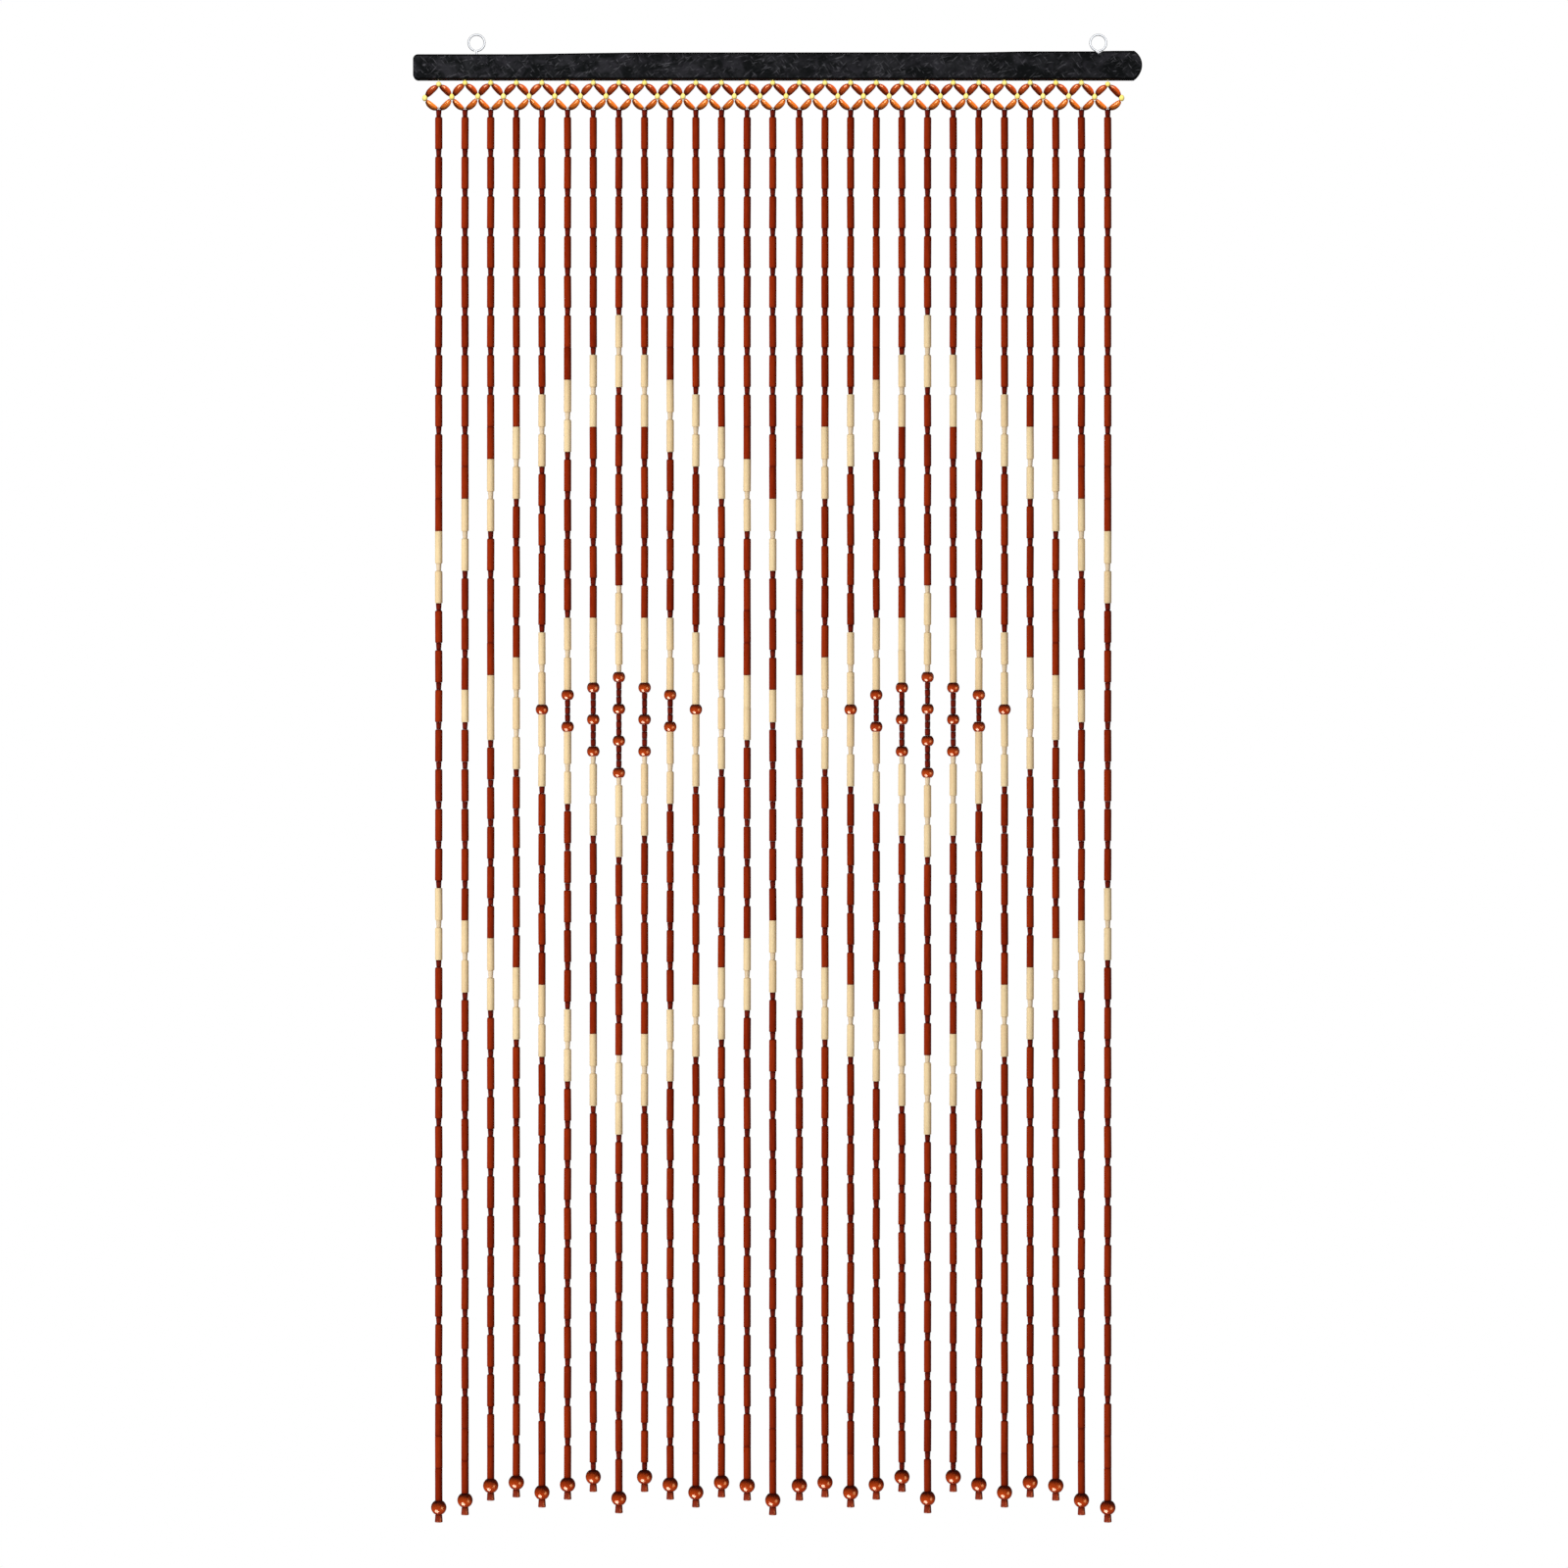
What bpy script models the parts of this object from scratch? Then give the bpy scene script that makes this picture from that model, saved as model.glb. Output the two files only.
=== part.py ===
"""A bead curtain on its hanging bar.

A painted bar carries two screw eyes. Under it hangs one row of beaded diamonds, and a strand of tube
beads hangs from the foot of each diamond. Lengths are in metres and +Z is up. The front looks along -Y,
and the origin is the middle of the bar's top edge.
"""

import math
import re
from collections import namedtuple

import bmesh
import bpy
from mathutils import Matrix, Vector

TopEdge = namedtuple("TopEdge", "along height")
Bead = namedtuple("Bead", "length radius")
Ring = namedtuple("Ring", "along radius")

# Bar
BAR_LENGTH = 0.9005
BAR_DEPTH = 0.020
BAR_UNDERSIDE = -0.0334
BAR_EDGE_ROUND = 0.0025
BAR_ROUND_STEPS = 2
LEFT_CORNER_RADIUS = 0.0060
RIGHT_END_BULGE = 0.0100
END_STEPS = 5
# The bar's top edge: distance from its left end, and its height over the underside.
TOP_EDGE = (
    TopEdge(along=0.131, height=0.0313),
    TopEdge(along=0.216, height=0.0326),
    TopEdge(along=0.277, height=0.0334),
    TopEdge(along=0.700, height=0.0336),
    TopEdge(along=0.755, height=0.0347),
    TopEdge(along=0.840, height=0.0348),
    TopEdge(along=0.864, height=0.0354),
)
LEFT_END_HEIGHT = 0.0312
RIGHT_END_HEIGHT = 0.0355

# Screw eyes
EYE_X = {"eye_left": -0.3721, "eye_right": 0.3964}
EYE_CENTRE_Z = 0.0127
EYE_RING_RADIUS = 0.0099
EYE_WIRE_RADIUS = 0.00125
EYE_SHANK_RADIUS = 0.0014
EYE_SHANK_END_Z = -0.0150
EYE_POINT_LENGTH = 0.0030
EYE_RING_STEPS = 24
EYE_WIRE_STEPS = 8
EYE_NOTCH_WIDTH = 0.0094
EYE_NOTCH_DEPTH = 0.0033
CLEARANCE = 0.0003

# Strands, counted from the left
STRANDS = 27
MIDDLE_STRAND = 13
DIAMOND_STRANDS = (7, 19)
MIDDLE_STRAND_X = -0.0059
STRAND_PITCH = 0.0317
GAP_RIGHT_OF_MIDDLE = 0.0011
OUTER_STRAND_EXTRA = 0.0008
STRAND_TOP_Z = -0.0700
STRAND_SIDES = 4

# Heading of beaded diamonds
HEADING_BEAD = Bead(length=0.0066, radius=0.0033)
HEADING_BEAD_TURN = math.radians(20)
HEADING_MIDDLE_Z = -0.0534
HEADING_END_OUT = 0.0171
OUTER_TOP_DROP = 0.0015
OUTER_MIDDLE_DROP = 0.0021
NEXT_MIDDLE_DROP = 0.0006
RICE_RADIUS = 0.0035
THREAD_RADIUS = 0.0013
LINK_END_SETBACK = 0.0020
FOOT_IN_STRAND = 0.0026
FOOT_SPREAD = 0.0018

# Beads by their letter in the charts: T and L are the brown and the cream tube, s and l the brown and
# the cream spacer, o the small round bead, O the round bead at the strand's foot and e its end plug.
BEADS = {
    "T": Bead(length=0.040, radius=0.0045),
    "L": Bead(length=0.040, radius=0.0045),
    "s": Bead(length=0.009, radius=0.0033),
    "l": Bead(length=0.009, radius=0.0033),
    "o": Bead(length=0.0124, radius=0.0077),
    "O": Bead(length=0.017, radius=0.0096),
    "e": Bead(length=0.010, radius=0.0047),
}
# Beads from top to bottom of a strand, by its number of strands from a diamond's middle.
# A number before a group repeats the group.
CHARTS = (
    "s 5Ts LlL s 4Ts T lLlLl osssosssossso lLlL s 4Ts T lLlL s 8Ts T Oe",
    "s 6Ts LlL 4Ts T LL osssossso lLlL s 4Ts T LlL s 9Ts Oe",
    "s 5Ts TT LlL s 4Ts LlL ossso LlL s 5Ts LlL s 9Ts T Oe",
    "s 7Ts LlL s 4Ts LlL o LlL s 4Ts T LlL s 9Ts TT Oe",
    "s 7Ts T LlL s 3Ts T LlLlL s 4Ts T LlL s 10Ts T Oe",
    "s 7Ts TT LlL s 1Ts TTT LL s 4Ts T LlL s 10Ts TT Oe",
    "s 8Ts TT LlL s 2Ts T L s 4Ts T LlL s 10Ts TTT Oe",
    "s 8Ts TTT LlL s 7Ts LlL s 11Ts TTT Oe",
)
# A round bead's outline between its ends: shares of its length and of its radius.
ROUND_OUTLINE = (
    Ring(along=0.2, radius=0.85),
    Ring(along=0.5, radius=1.00),
    Ring(along=0.8, radius=0.85),
)
ROUND_END_SHARE = 0.40
# A heading link's outline: a rice-shaped bead between two ends of thread.
RICE_OUTLINE = (
    Ring(along=0.0, radius=THREAD_RADIUS),
    Ring(along=0.3, radius=RICE_RADIUS),
    Ring(along=0.7, radius=RICE_RADIUS),
    Ring(along=1.0, radius=THREAD_RADIUS),
)


def clear_scene():
    for old in list(bpy.data.objects):
        bpy.data.objects.remove(old, do_unlink=True)


def new_collection(name):
    made = bpy.data.collections.new(name)
    bpy.context.scene.collection.children.link(made)
    return made


def new_object(name, mesh, collection):
    made = bpy.data.objects.new(name, mesh)
    collection.objects.link(made)
    return made


def set_material(piece, colour, roughness, metallic=0.0):
    material = bpy.data.materials.new(piece.name)
    material.use_nodes = True
    shader = material.node_tree.nodes["Principled BSDF"]
    shader.inputs["Base Color"].default_value = (*colour, 1.0)
    shader.inputs["Roughness"].default_value = roughness
    shader.inputs["Metallic"].default_value = metallic
    piece.data.materials.clear()
    piece.data.materials.append(material)


def as_cutter(tool):
    tool.hide_render = True
    tool.display_type = "WIRE"
    return tool


def combine(piece, tool, operation, solver="EXACT"):
    modifier = piece.modifiers.new(f"{operation.title()} {tool.name}", "BOOLEAN")
    modifier.operation = operation
    modifier.solver = solver
    modifier.object = tool


def baked_mesh(source):
    """The evaluated mesh of an object, with its doubles merged. The object itself is removed."""
    graph = bpy.context.evaluated_depsgraph_get()
    mesh = bpy.data.meshes.new_from_object(source.evaluated_get(graph))
    shape = bmesh.new()
    shape.from_mesh(mesh)
    bmesh.ops.remove_doubles(shape, verts=shape.verts, dist=1e-6)
    shape.to_mesh(mesh)
    shape.free()
    bpy.data.objects.remove(source, do_unlink=True)
    return mesh


def extruded(name, outline, depth, edge_round, collection):
    """A flat outline in X and Z, thickened to both sides of Y = 0, as a mesh object."""
    curve = bpy.data.curves.new(name, "CURVE")
    curve.dimensions = "2D"
    curve.fill_mode = "BOTH"
    curve.extrude = depth / 2 - edge_round
    curve.bevel_depth = edge_round
    curve.bevel_resolution = BAR_ROUND_STEPS
    curve.offset = -edge_round
    spline = curve.splines.new("POLY")
    spline.points.add(len(outline) - 1)
    for point, (x, z) in zip(spline.points, outline):
        point.co = (x, z, 0.0, 1.0)
    spline.use_cyclic_u = True
    guide = new_object(name, curve, collection)
    mesh = baked_mesh(guide)
    mesh.transform(Matrix.Rotation(math.pi / 2, 4, "X"))
    return new_object(name, mesh, collection)


def turned_mesh(name, rings, sides, collection):
    """A solid turned about Z from rings of height and radius, listed from top to bottom."""
    points = [(0.0, 0.0, rings[0].along)]
    points += [(ring.radius, 0.0, ring.along) for ring in rings]
    points += [(0.0, 0.0, rings[-1].along)]
    mesh = bpy.data.meshes.new(name)
    mesh.from_pydata(points, [(i, i + 1) for i in range(len(points) - 1)], [])
    profile = new_object(name, mesh, collection)
    screw = profile.modifiers.new("Turn", "SCREW")
    screw.steps = sides
    screw.render_steps = sides
    screw.use_merge_vertices = True
    screw.merge_threshold = 1e-6
    return baked_mesh(profile)


def arc(centre, radius, start, end, steps):
    """Points of an arc, with its angles in degrees from +X towards +Z."""
    points = []
    for i in range(steps + 1):
        angle = math.radians(start + (end - start) * i / steps)
        points.append((centre[0] + radius * math.cos(angle), centre[1] + radius * math.sin(angle)))
    return points


def bar_outline():
    left, right = -BAR_LENGTH / 2, BAR_LENGTH / 2
    low = BAR_UNDERSIDE
    corner = LEFT_CORNER_RADIUS
    outline = arc((left + corner, low + corner), corner, 180, 270, END_STEPS)
    half = RIGHT_END_HEIGHT / 2
    radius = (half**2 + RIGHT_END_BULGE**2) / (2 * RIGHT_END_BULGE)
    reach = math.degrees(math.asin(half / radius))
    outline += arc((right - radius, low + half), radius, -reach, reach, 2 * END_STEPS)
    for row in reversed(TOP_EDGE):
        outline.append((left + row.along, low + row.height))
    outline += arc((left + corner, low + LEFT_END_HEIGHT - corner), corner, 90, 180, END_STEPS)
    return outline


def top_edge_z(x):
    """Height of the bar's top edge at x."""
    along = x + BAR_LENGTH / 2
    for before, after in zip(TOP_EDGE, TOP_EDGE[1:]):
        if before.along <= along <= after.along:
            share = (along - before.along) / (after.along - before.along)
            return BAR_UNDERSIDE + before.height + share * (after.height - before.height)
    return BAR_UNDERSIDE + (LEFT_END_HEIGHT if along < TOP_EDGE[0].along else RIGHT_END_HEIGHT)


def make_bar(parts, cutters):
    bar = extruded("bar", bar_outline(), BAR_DEPTH, BAR_EDGE_ROUND, parts)
    hole_radius = EYE_SHANK_RADIUS + CLEARANCE
    hole_end = EYE_SHANK_END_Z - CLEARANCE
    for name, x in EYE_X.items():
        hole = Ring(along=EYE_CENTRE_Z, radius=hole_radius), Ring(along=hole_end, radius=hole_radius)
        mesh = turned_mesh(f"pilot_hole_{name}", hole, EYE_WIRE_STEPS, cutters)
        mesh.transform(Matrix.Translation((x, 0.0, 0.0)))
        combine(bar, as_cutter(new_object(f"pilot_hole_{name}", mesh, cutters)), "DIFFERENCE")
    combine(bar, as_cutter(make_notch(cutters)), "DIFFERENCE")
    set_material(bar, (0.018, 0.019, 0.022), 0.55)


def make_notch(cutters):
    """The groove across the bar's top under the right eye, which reaches above the edge."""
    x = EYE_X["eye_right"]
    top = top_edge_z(x)
    rise = EYE_NOTCH_DEPTH
    outline = (
        (x, top - EYE_NOTCH_DEPTH),
        (x + EYE_NOTCH_WIDTH, top + rise),
        (x - EYE_NOTCH_WIDTH, top + rise),
    )
    return extruded("eye_notch", outline, 2 * BAR_DEPTH, 0.0, cutters)


def make_eye(name, x, parts, cutters):
    """A wire ring that faces the front, on a pointed shank that stands in its pilot hole."""
    bpy.ops.mesh.primitive_torus_add(
        major_segments=EYE_RING_STEPS,
        minor_segments=EYE_WIRE_STEPS,
        major_radius=EYE_RING_RADIUS,
        minor_radius=EYE_WIRE_RADIUS,
    )
    ring = bpy.context.object
    mesh = baked_mesh(ring)
    mesh.transform(Matrix.Translation((x, 0.0, EYE_CENTRE_Z)) @ Matrix.Rotation(math.pi / 2, 4, "X"))
    eye = new_object(name, mesh, parts)
    shank_rings = (
        Ring(along=EYE_CENTRE_Z - EYE_RING_RADIUS, radius=EYE_SHANK_RADIUS / 2),
        Ring(along=EYE_CENTRE_Z - EYE_RING_RADIUS - EYE_WIRE_RADIUS, radius=EYE_SHANK_RADIUS),
        Ring(along=EYE_SHANK_END_Z + EYE_POINT_LENGTH, radius=EYE_SHANK_RADIUS),
        Ring(along=EYE_SHANK_END_Z, radius=EYE_SHANK_RADIUS / 3),
    )
    shank_mesh = turned_mesh(f"shank_{name}", shank_rings, EYE_WIRE_STEPS, cutters)
    shank_mesh.transform(Matrix.Translation((x, 0.0, 0.0)))
    combine(eye, as_cutter(new_object(f"shank_{name}", shank_mesh, cutters)), "UNION")
    eye.data.shade_smooth()
    set_material(eye, (0.75, 0.76, 0.78), 0.25, metallic=1.0)


def strand_x(strand):
    x = MIDDLE_STRAND_X + (strand - MIDDLE_STRAND) * STRAND_PITCH
    if strand > MIDDLE_STRAND:
        x += GAP_RIGHT_OF_MIDDLE
    if strand == 0:
        x -= OUTER_STRAND_EXTRA
    if strand == STRANDS - 1:
        x += OUTER_STRAND_EXTRA
    return x


def chart_letters(chart):
    """The chart written out in full, one letter for each bead."""
    letters = ""
    for group in chart.split():
        repeat, beads = re.fullmatch(r"(\d*)(\w+)", group).groups()
        letters += beads * int(repeat or 1)
    return letters


def strand_runs(letters):
    """Stretches of the strand as (kind, length). One spacer between two tubes is part of their run."""
    runs = []
    for i, letter in enumerate(letters):
        kind = {"T": "tube", "L": "tube", "s": "spacer", "l": "spacer"}.get(letter, letter)
        neighbours = letters[max(i - 1, 0) : i] + letters[i + 1 : i + 2]
        if kind == "spacer" and len(neighbours) == 2 and set(neighbours) <= set("TL"):
            kind = "tube"
        if runs and runs[-1][0] == kind and kind in ("tube", "spacer"):
            runs[-1][1] += BEADS[letter].length
        else:
            runs.append([kind, BEADS[letter].length])
    return runs


def round_rings(bead, top_z, end_share):
    """Rings of a round bead from its top down. Its ends have a share of its radius."""
    outline = (Ring(0.0, end_share), *ROUND_OUTLINE, Ring(1.0, end_share))
    return [Ring(top_z - bead.length * row.along, bead.radius * row.radius) for row in outline]


def strand_rings(letters):
    """Rings of a strand from its top down. Equal ring heights make a step between two widths."""
    radii = {"tube": BEADS["T"].radius, "spacer": BEADS["s"].radius, "e": BEADS["e"].radius}
    rings = []
    z = STRAND_TOP_Z
    for kind, length in strand_runs(letters):
        if kind in radii:
            rings += [Ring(z, radii[kind]), Ring(z - length, radii[kind])]
        else:
            rings += round_rings(BEADS[kind], z, ROUND_END_SHARE)
        z -= length
    return rings


def heading_points():
    """Places of the heading's beads: the row under the bar and the middle row."""
    last = STRANDS - 1
    top_z = BAR_UNDERSIDE - CLEARANCE - HEADING_BEAD.radius
    tops = [Vector((strand_x(i), 0.0, top_z)) for i in range(STRANDS)]
    middle_x = [(strand_x(i) + strand_x(i + 1)) / 2 for i in range(last)]
    middle_x = [strand_x(0) - HEADING_END_OUT, *middle_x, strand_x(last) + HEADING_END_OUT]
    middles = [Vector((x, 0.0, HEADING_MIDDLE_Z)) for x in middle_x]
    for top in (tops[0], tops[-1]):
        top.z -= OUTER_TOP_DROP
    for middle in (middles[0], middles[-1]):
        middle.z -= OUTER_MIDDLE_DROP
    for middle in (middles[1], middles[-2]):
        middle.z -= NEXT_MIDDLE_DROP
    return tops, middles


def copies(name, mesh, places, collection):
    """One object that holds a copy of the mesh at each place, as separate bodies."""
    shape = bmesh.new()
    for place in places:
        first = len(shape.verts)
        shape.from_mesh(mesh)
        shape.verts.ensure_lookup_table()
        bmesh.ops.transform(shape, matrix=place, verts=shape.verts[first:])
    joined = bpy.data.meshes.new(name)
    shape.to_mesh(joined)
    shape.free()
    return new_object(name, joined, collection)


def link_place(start, end):
    """Stands a link of unit length between two beads, a little short of their centres."""
    along = (end - start).normalized()
    low = start + along * LINK_END_SETBACK
    length = (end - start).length - 2 * LINK_END_SETBACK
    turn = along.to_track_quat("Z", "Y").to_matrix().to_4x4()
    return Matrix.Translation(low) @ turn @ Matrix.Diagonal((1.0, 1.0, length, 1.0))


def make_heading(cutters):
    """The heading's links and beads, as tools that join on to the strands."""
    tops, middles = heading_points()
    link_places = []
    for i in range(STRANDS):
        for side, middle in ((-1, middles[i]), (1, middles[i + 1])):
            foot = Vector((strand_x(i) + side * FOOT_SPREAD, 0.0, STRAND_TOP_Z - FOOT_IN_STRAND))
            link_places += [link_place(tops[i], middle), link_place(middle, foot)]
    rice_rings = [Ring(along=1.0 - row.along, radius=row.radius) for row in RICE_OUTLINE]
    rice = turned_mesh("rice_link", rice_rings, STRAND_SIDES, cutters)
    bead_rings = round_rings(HEADING_BEAD, HEADING_BEAD.length / 2, 0.0)
    bead = turned_mesh("heading_bead", bead_rings, STRAND_SIDES, cutters)
    # The turn takes the beads' corners out of the plane that holds the links' corners.
    bead.transform(Matrix.Rotation(HEADING_BEAD_TURN, 4, "Z"))
    bead_places = [Matrix.Translation(point) for point in tops + middles]
    return (
        copies("heading_links", rice, link_places, cutters),
        copies("heading_beads", bead, bead_places, cutters),
    )


def make_strands(parts, cutters):
    """All strands hang apart and are joined at their tops by the heading."""
    shape = bmesh.new()
    for strand in range(STRANDS):
        steps_from_diamond = min(abs(strand - middle) for middle in DIAMOND_STRANDS)
        letters = chart_letters(CHARTS[steps_from_diamond])
        mesh = turned_mesh("strand", strand_rings(letters), STRAND_SIDES, cutters)
        mesh.transform(Matrix.Translation((strand_x(strand), 0.0, 0.0)))
        shape.from_mesh(mesh)
    joined = bpy.data.meshes.new("bead_strands")
    shape.to_mesh(joined)
    shape.free()
    strands = new_object("bead_strands", joined, parts)
    for tool in make_heading(cutters):
        combine(strands, as_cutter(tool), "UNION", solver="MANIFOLD")
    set_material(strands, (0.30, 0.055, 0.015), 0.35)


def main():
    clear_scene()
    parts = new_collection("bead_curtain")
    cutters = new_collection("cutters")
    make_bar(parts, cutters)
    for name, x in EYE_X.items():
        make_eye(name, x, parts, cutters)
    make_strands(parts, cutters)


main()
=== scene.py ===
"""The looks of a bead curtain on its painted bar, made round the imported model.

Lengths are in metres and +Z is up. The front looks along -Y, and the origin is the middle of the bar's
top edge, as in the model.
"""

import math
import re
from collections import namedtuple

import bmesh
import bpy
from mathutils import Euler, Matrix, Vector
from mathutils.geometry import interpolate_bezier


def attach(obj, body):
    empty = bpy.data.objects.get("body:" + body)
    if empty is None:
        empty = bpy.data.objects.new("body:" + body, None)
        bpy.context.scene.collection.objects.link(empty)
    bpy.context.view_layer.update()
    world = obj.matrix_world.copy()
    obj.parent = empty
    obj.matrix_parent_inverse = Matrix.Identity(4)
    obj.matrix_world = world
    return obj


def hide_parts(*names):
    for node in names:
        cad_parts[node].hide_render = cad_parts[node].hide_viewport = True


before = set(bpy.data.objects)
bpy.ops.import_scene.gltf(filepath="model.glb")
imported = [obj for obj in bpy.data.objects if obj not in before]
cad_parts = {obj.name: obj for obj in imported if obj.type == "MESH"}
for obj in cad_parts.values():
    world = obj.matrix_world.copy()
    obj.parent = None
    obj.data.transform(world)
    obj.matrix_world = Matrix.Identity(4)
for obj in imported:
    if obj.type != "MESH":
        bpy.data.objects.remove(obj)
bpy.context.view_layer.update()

FULL_TURN = 2 * math.pi
MERGE_DISTANCE = 1e-6

Ring = namedtuple("Ring", "along radius")
Bead = namedtuple("Bead", "length radius")
Place = namedtuple("Place", "centre shape facing size", defaults=(0, (0.0, 0.0, 0.0), (1.0, 1.0, 1.0)))
BeadRow = namedtuple("BeadRow", "name places shapes slot lean spread seed turn", defaults=(FULL_TURN,))
TopEdge = namedtuple("TopEdge", "along height")
Finish = namedtuple(
    "Finish",
    "name bead light dark ends end_reach fibres stretch roughness gloss coat coat_roughness",
    defaults=(900.0, 14.0, 0.50, 0.12, 0.0, 0.20),
)
SoftLight = namedtuple("SoftLight", "name place aim size power lit")
FarLight = namedtuple("FarLight", "name towards width strength tint shades lit")


def table(kind, *rows):
    return tuple(kind(*row) for row in rows)


# Bar
BAR_LENGTH = 0.9005
BAR_DEPTH = 0.020
BAR_UNDERSIDE = -0.0334
BAR_EDGE_ROUND = 0.0025
BAR_ROUND_STEPS = 4
LEFT_CORNER_RADIUS = 0.0060
RIGHT_END_BULGE = 0.0100
END_STEPS = 12
# The bar's top edge: distance from its left end, and its height over the underside.
TOP_EDGE = table(
    TopEdge,
    (0.131, 0.0313), (0.216, 0.0326), (0.277, 0.0334), (0.700, 0.0336),
    (0.755, 0.0347), (0.840, 0.0348), (0.864, 0.0354),
)
LEFT_END_HEIGHT = 0.0312
RIGHT_END_HEIGHT = 0.0355
THREAD_HOLE_RADIUS = 0.0011
THREAD_HOLE_DEPTH = 0.0060

# Screw eyes
EYE_X = {"eye_left": -0.3721, "eye_right": 0.3964}
EYE_CENTRE_Z = 0.0127
EYE_RING_RADIUS = 0.0099
EYE_WIRE_RADIUS = 0.00125
EYE_SHANK_END_Z = -0.0150
EYE_POINT_LENGTH = 0.0030
EYE_NECK_DROP = 0.0016
EYE_GAP_HALF_DEGREES = 16
EYE_BEND_SHARE = 0.125
EYE_BEND_POINTS = 7
EYE_SHANK_STEPS = 6
EYE_POINT_GIRTH = 0.35
EYE_RING_STEPS = 56
EYE_WIRE_SIDES_RESOLUTION = 4
EYE_THREAD_TURNS = 8
EYE_THREAD_STEPS = 128
EYE_THREAD_TOP_Z = -0.0020
EYE_THREAD_RIDGE = 0.00030
EYE_RIDGE_RESOLUTION = 0
EYE_NOTCH_WIDTH = 0.0094
EYE_NOTCH_DEPTH = 0.0033
CLEARANCE = 0.0003

# Strands, counted from the left
STRANDS = 27
MIDDLE_STRAND = 13
DIAMOND_STRANDS = (7, 19)
MIDDLE_STRAND_X = -0.0059
STRAND_PITCH = 0.0317
GAP_RIGHT_OF_MIDDLE = 0.0011
OUTER_STRAND_EXTRA = 0.0008
STRAND_TOP_Z = -0.0700

# Heading of beaded diamonds
HEADING_BEAD = Bead(length=0.0066, radius=0.0034)
HEADING_MIDDLE_Z = -0.0534
HEADING_END_OUT = 0.0171
OUTER_TOP_DROP = 0.0015
OUTER_MIDDLE_DROP = 0.0021
NEXT_MIDDLE_DROP = 0.0006
MIDDLE_BEAD_STRETCH = 1.22
RICE = Bead(length=0.0166, radius=0.00375)
RICE_END_GIRTH = 0.52
RICE_BLUNTNESS = 2.7
UPPER_RICE_GIRTH = 1.12
LOWER_RICE_GIRTH = 1.05
RICE_BOW = 0.0009
RICE_SETBACK = 0.0029
LOWER_RICE_SIDE = 0.0017
LOWER_RICE_DROP = 0.0040
FOOT_SPREAD = 0.0020
FOOT_ABOVE_STRAND = 0.0007
KNOT_ABOVE_STRAND = 0.0017
KNOT_SIZE = (0.45, 0.45, 1.5)

# Beads by their letter in the charts: T and L are the brown and the cream tube, s and l the brown and
# the cream spacer, o the small round bead, O the round bead at the strand's foot and e its end plug.
BEADS = {
    "T": Bead(length=0.040, radius=0.0046),
    "L": Bead(length=0.040, radius=0.0046),
    "s": Bead(length=0.009, radius=0.0036),
    "l": Bead(length=0.009, radius=0.0034),
    "o": Bead(length=0.0124, radius=0.0078),
    "O": Bead(length=0.017, radius=0.0096),
    "e": Bead(length=0.010, radius=0.0048),
}
BEAD_GAP = 0.0001
# Beads from top to bottom of a strand, by its number of strands from a diamond's middle.
# A number before a group repeats the group.
CHARTS = (
    "s 5Ts LlL s 4Ts T lLlLl osssosssossso lLlL s 4Ts T lLlL s 8Ts T Oe",
    "s 6Ts LlL 4Ts T LL osssossso lLlL s 4Ts T LlL s 9Ts Oe",
    "s 5Ts TT LlL s 4Ts LlL ossso LlL s 5Ts LlL s 9Ts T Oe",
    "s 7Ts LlL s 4Ts LlL o LlL s 4Ts T LlL s 9Ts TT Oe",
    "s 7Ts T LlL s 3Ts T LlLlL s 4Ts T LlL s 10Ts T Oe",
    "s 7Ts TT LlL s 1Ts TTT LL s 4Ts T LlL s 10Ts TT Oe",
    "s 8Ts TT LlL s 2Ts T L s 4Ts T LlL s 10Ts TTT Oe",
    "s 8Ts TTT LlL s 7Ts LlL s 11Ts TTT Oe",
)
# The spacer of a tube's own colour, next to which the tube's end is turned down.
OWN_SPACER = {"T": "s", "L": "l"}

# Ends of a tube bead, from the end inwards
TAPERED_TOP = table(Ring, (0.0000, 0.0037), (0.0005, 0.0042), (0.0013, 0.0045), (0.0022, 0.0046))
TAPERED_FOOT = table(Ring, (0.0000, 0.0038), (0.0004, 0.0043), (0.0012, 0.0046))
SQUARE_END = table(Ring, (0.0000, 0.0043), (0.0004, 0.0046))
# Spacers, from the top down
STRAIGHT_SPACER = table(
    Ring,
    (0.0000, 0.0030), (0.0007, 0.0034), (0.0050, 0.0034),
    (0.0080, 0.0032), (0.0089, 0.0029),
)
NARROWING_SPACER = table(
    Ring,
    (0.0000, 0.0033), (0.0008, 0.0036), (0.0036, 0.0034),
    (0.0066, 0.0032), (0.0089, 0.0029),
)
# Ends of an end plug, from the end inwards
PLUG_TOP = table(Ring, (0.0000, 0.0036), (0.0008, 0.0043))
PLUG_FOOT = table(Ring, (0.0000, 0.0038), (0.0003, 0.0045), (0.0010, 0.0048), (0.0024, 0.0047))
PLUG_MIDDLE_RADIUS = 0.0045
PLUG_DIMPLE = 0.0016
PLUG_DIMPLE_TAPER = 0.6
TUBE_SIDES = 12
SPACER_SIDES = 10
ROUND_SIDES = 24
ROUND_RINGS = 14
SMALL_ROUND_SIDES = 16
SMALL_ROUND_RINGS = 8
RICE_RINGS = 10
BORE_RADIUS = 0.0013
BORE_DEPTH = 0.00065
BORE_TAPER = 0.7
RIM_ROUND = 0.0004
SHARP_ANGLE = math.radians(48)

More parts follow.
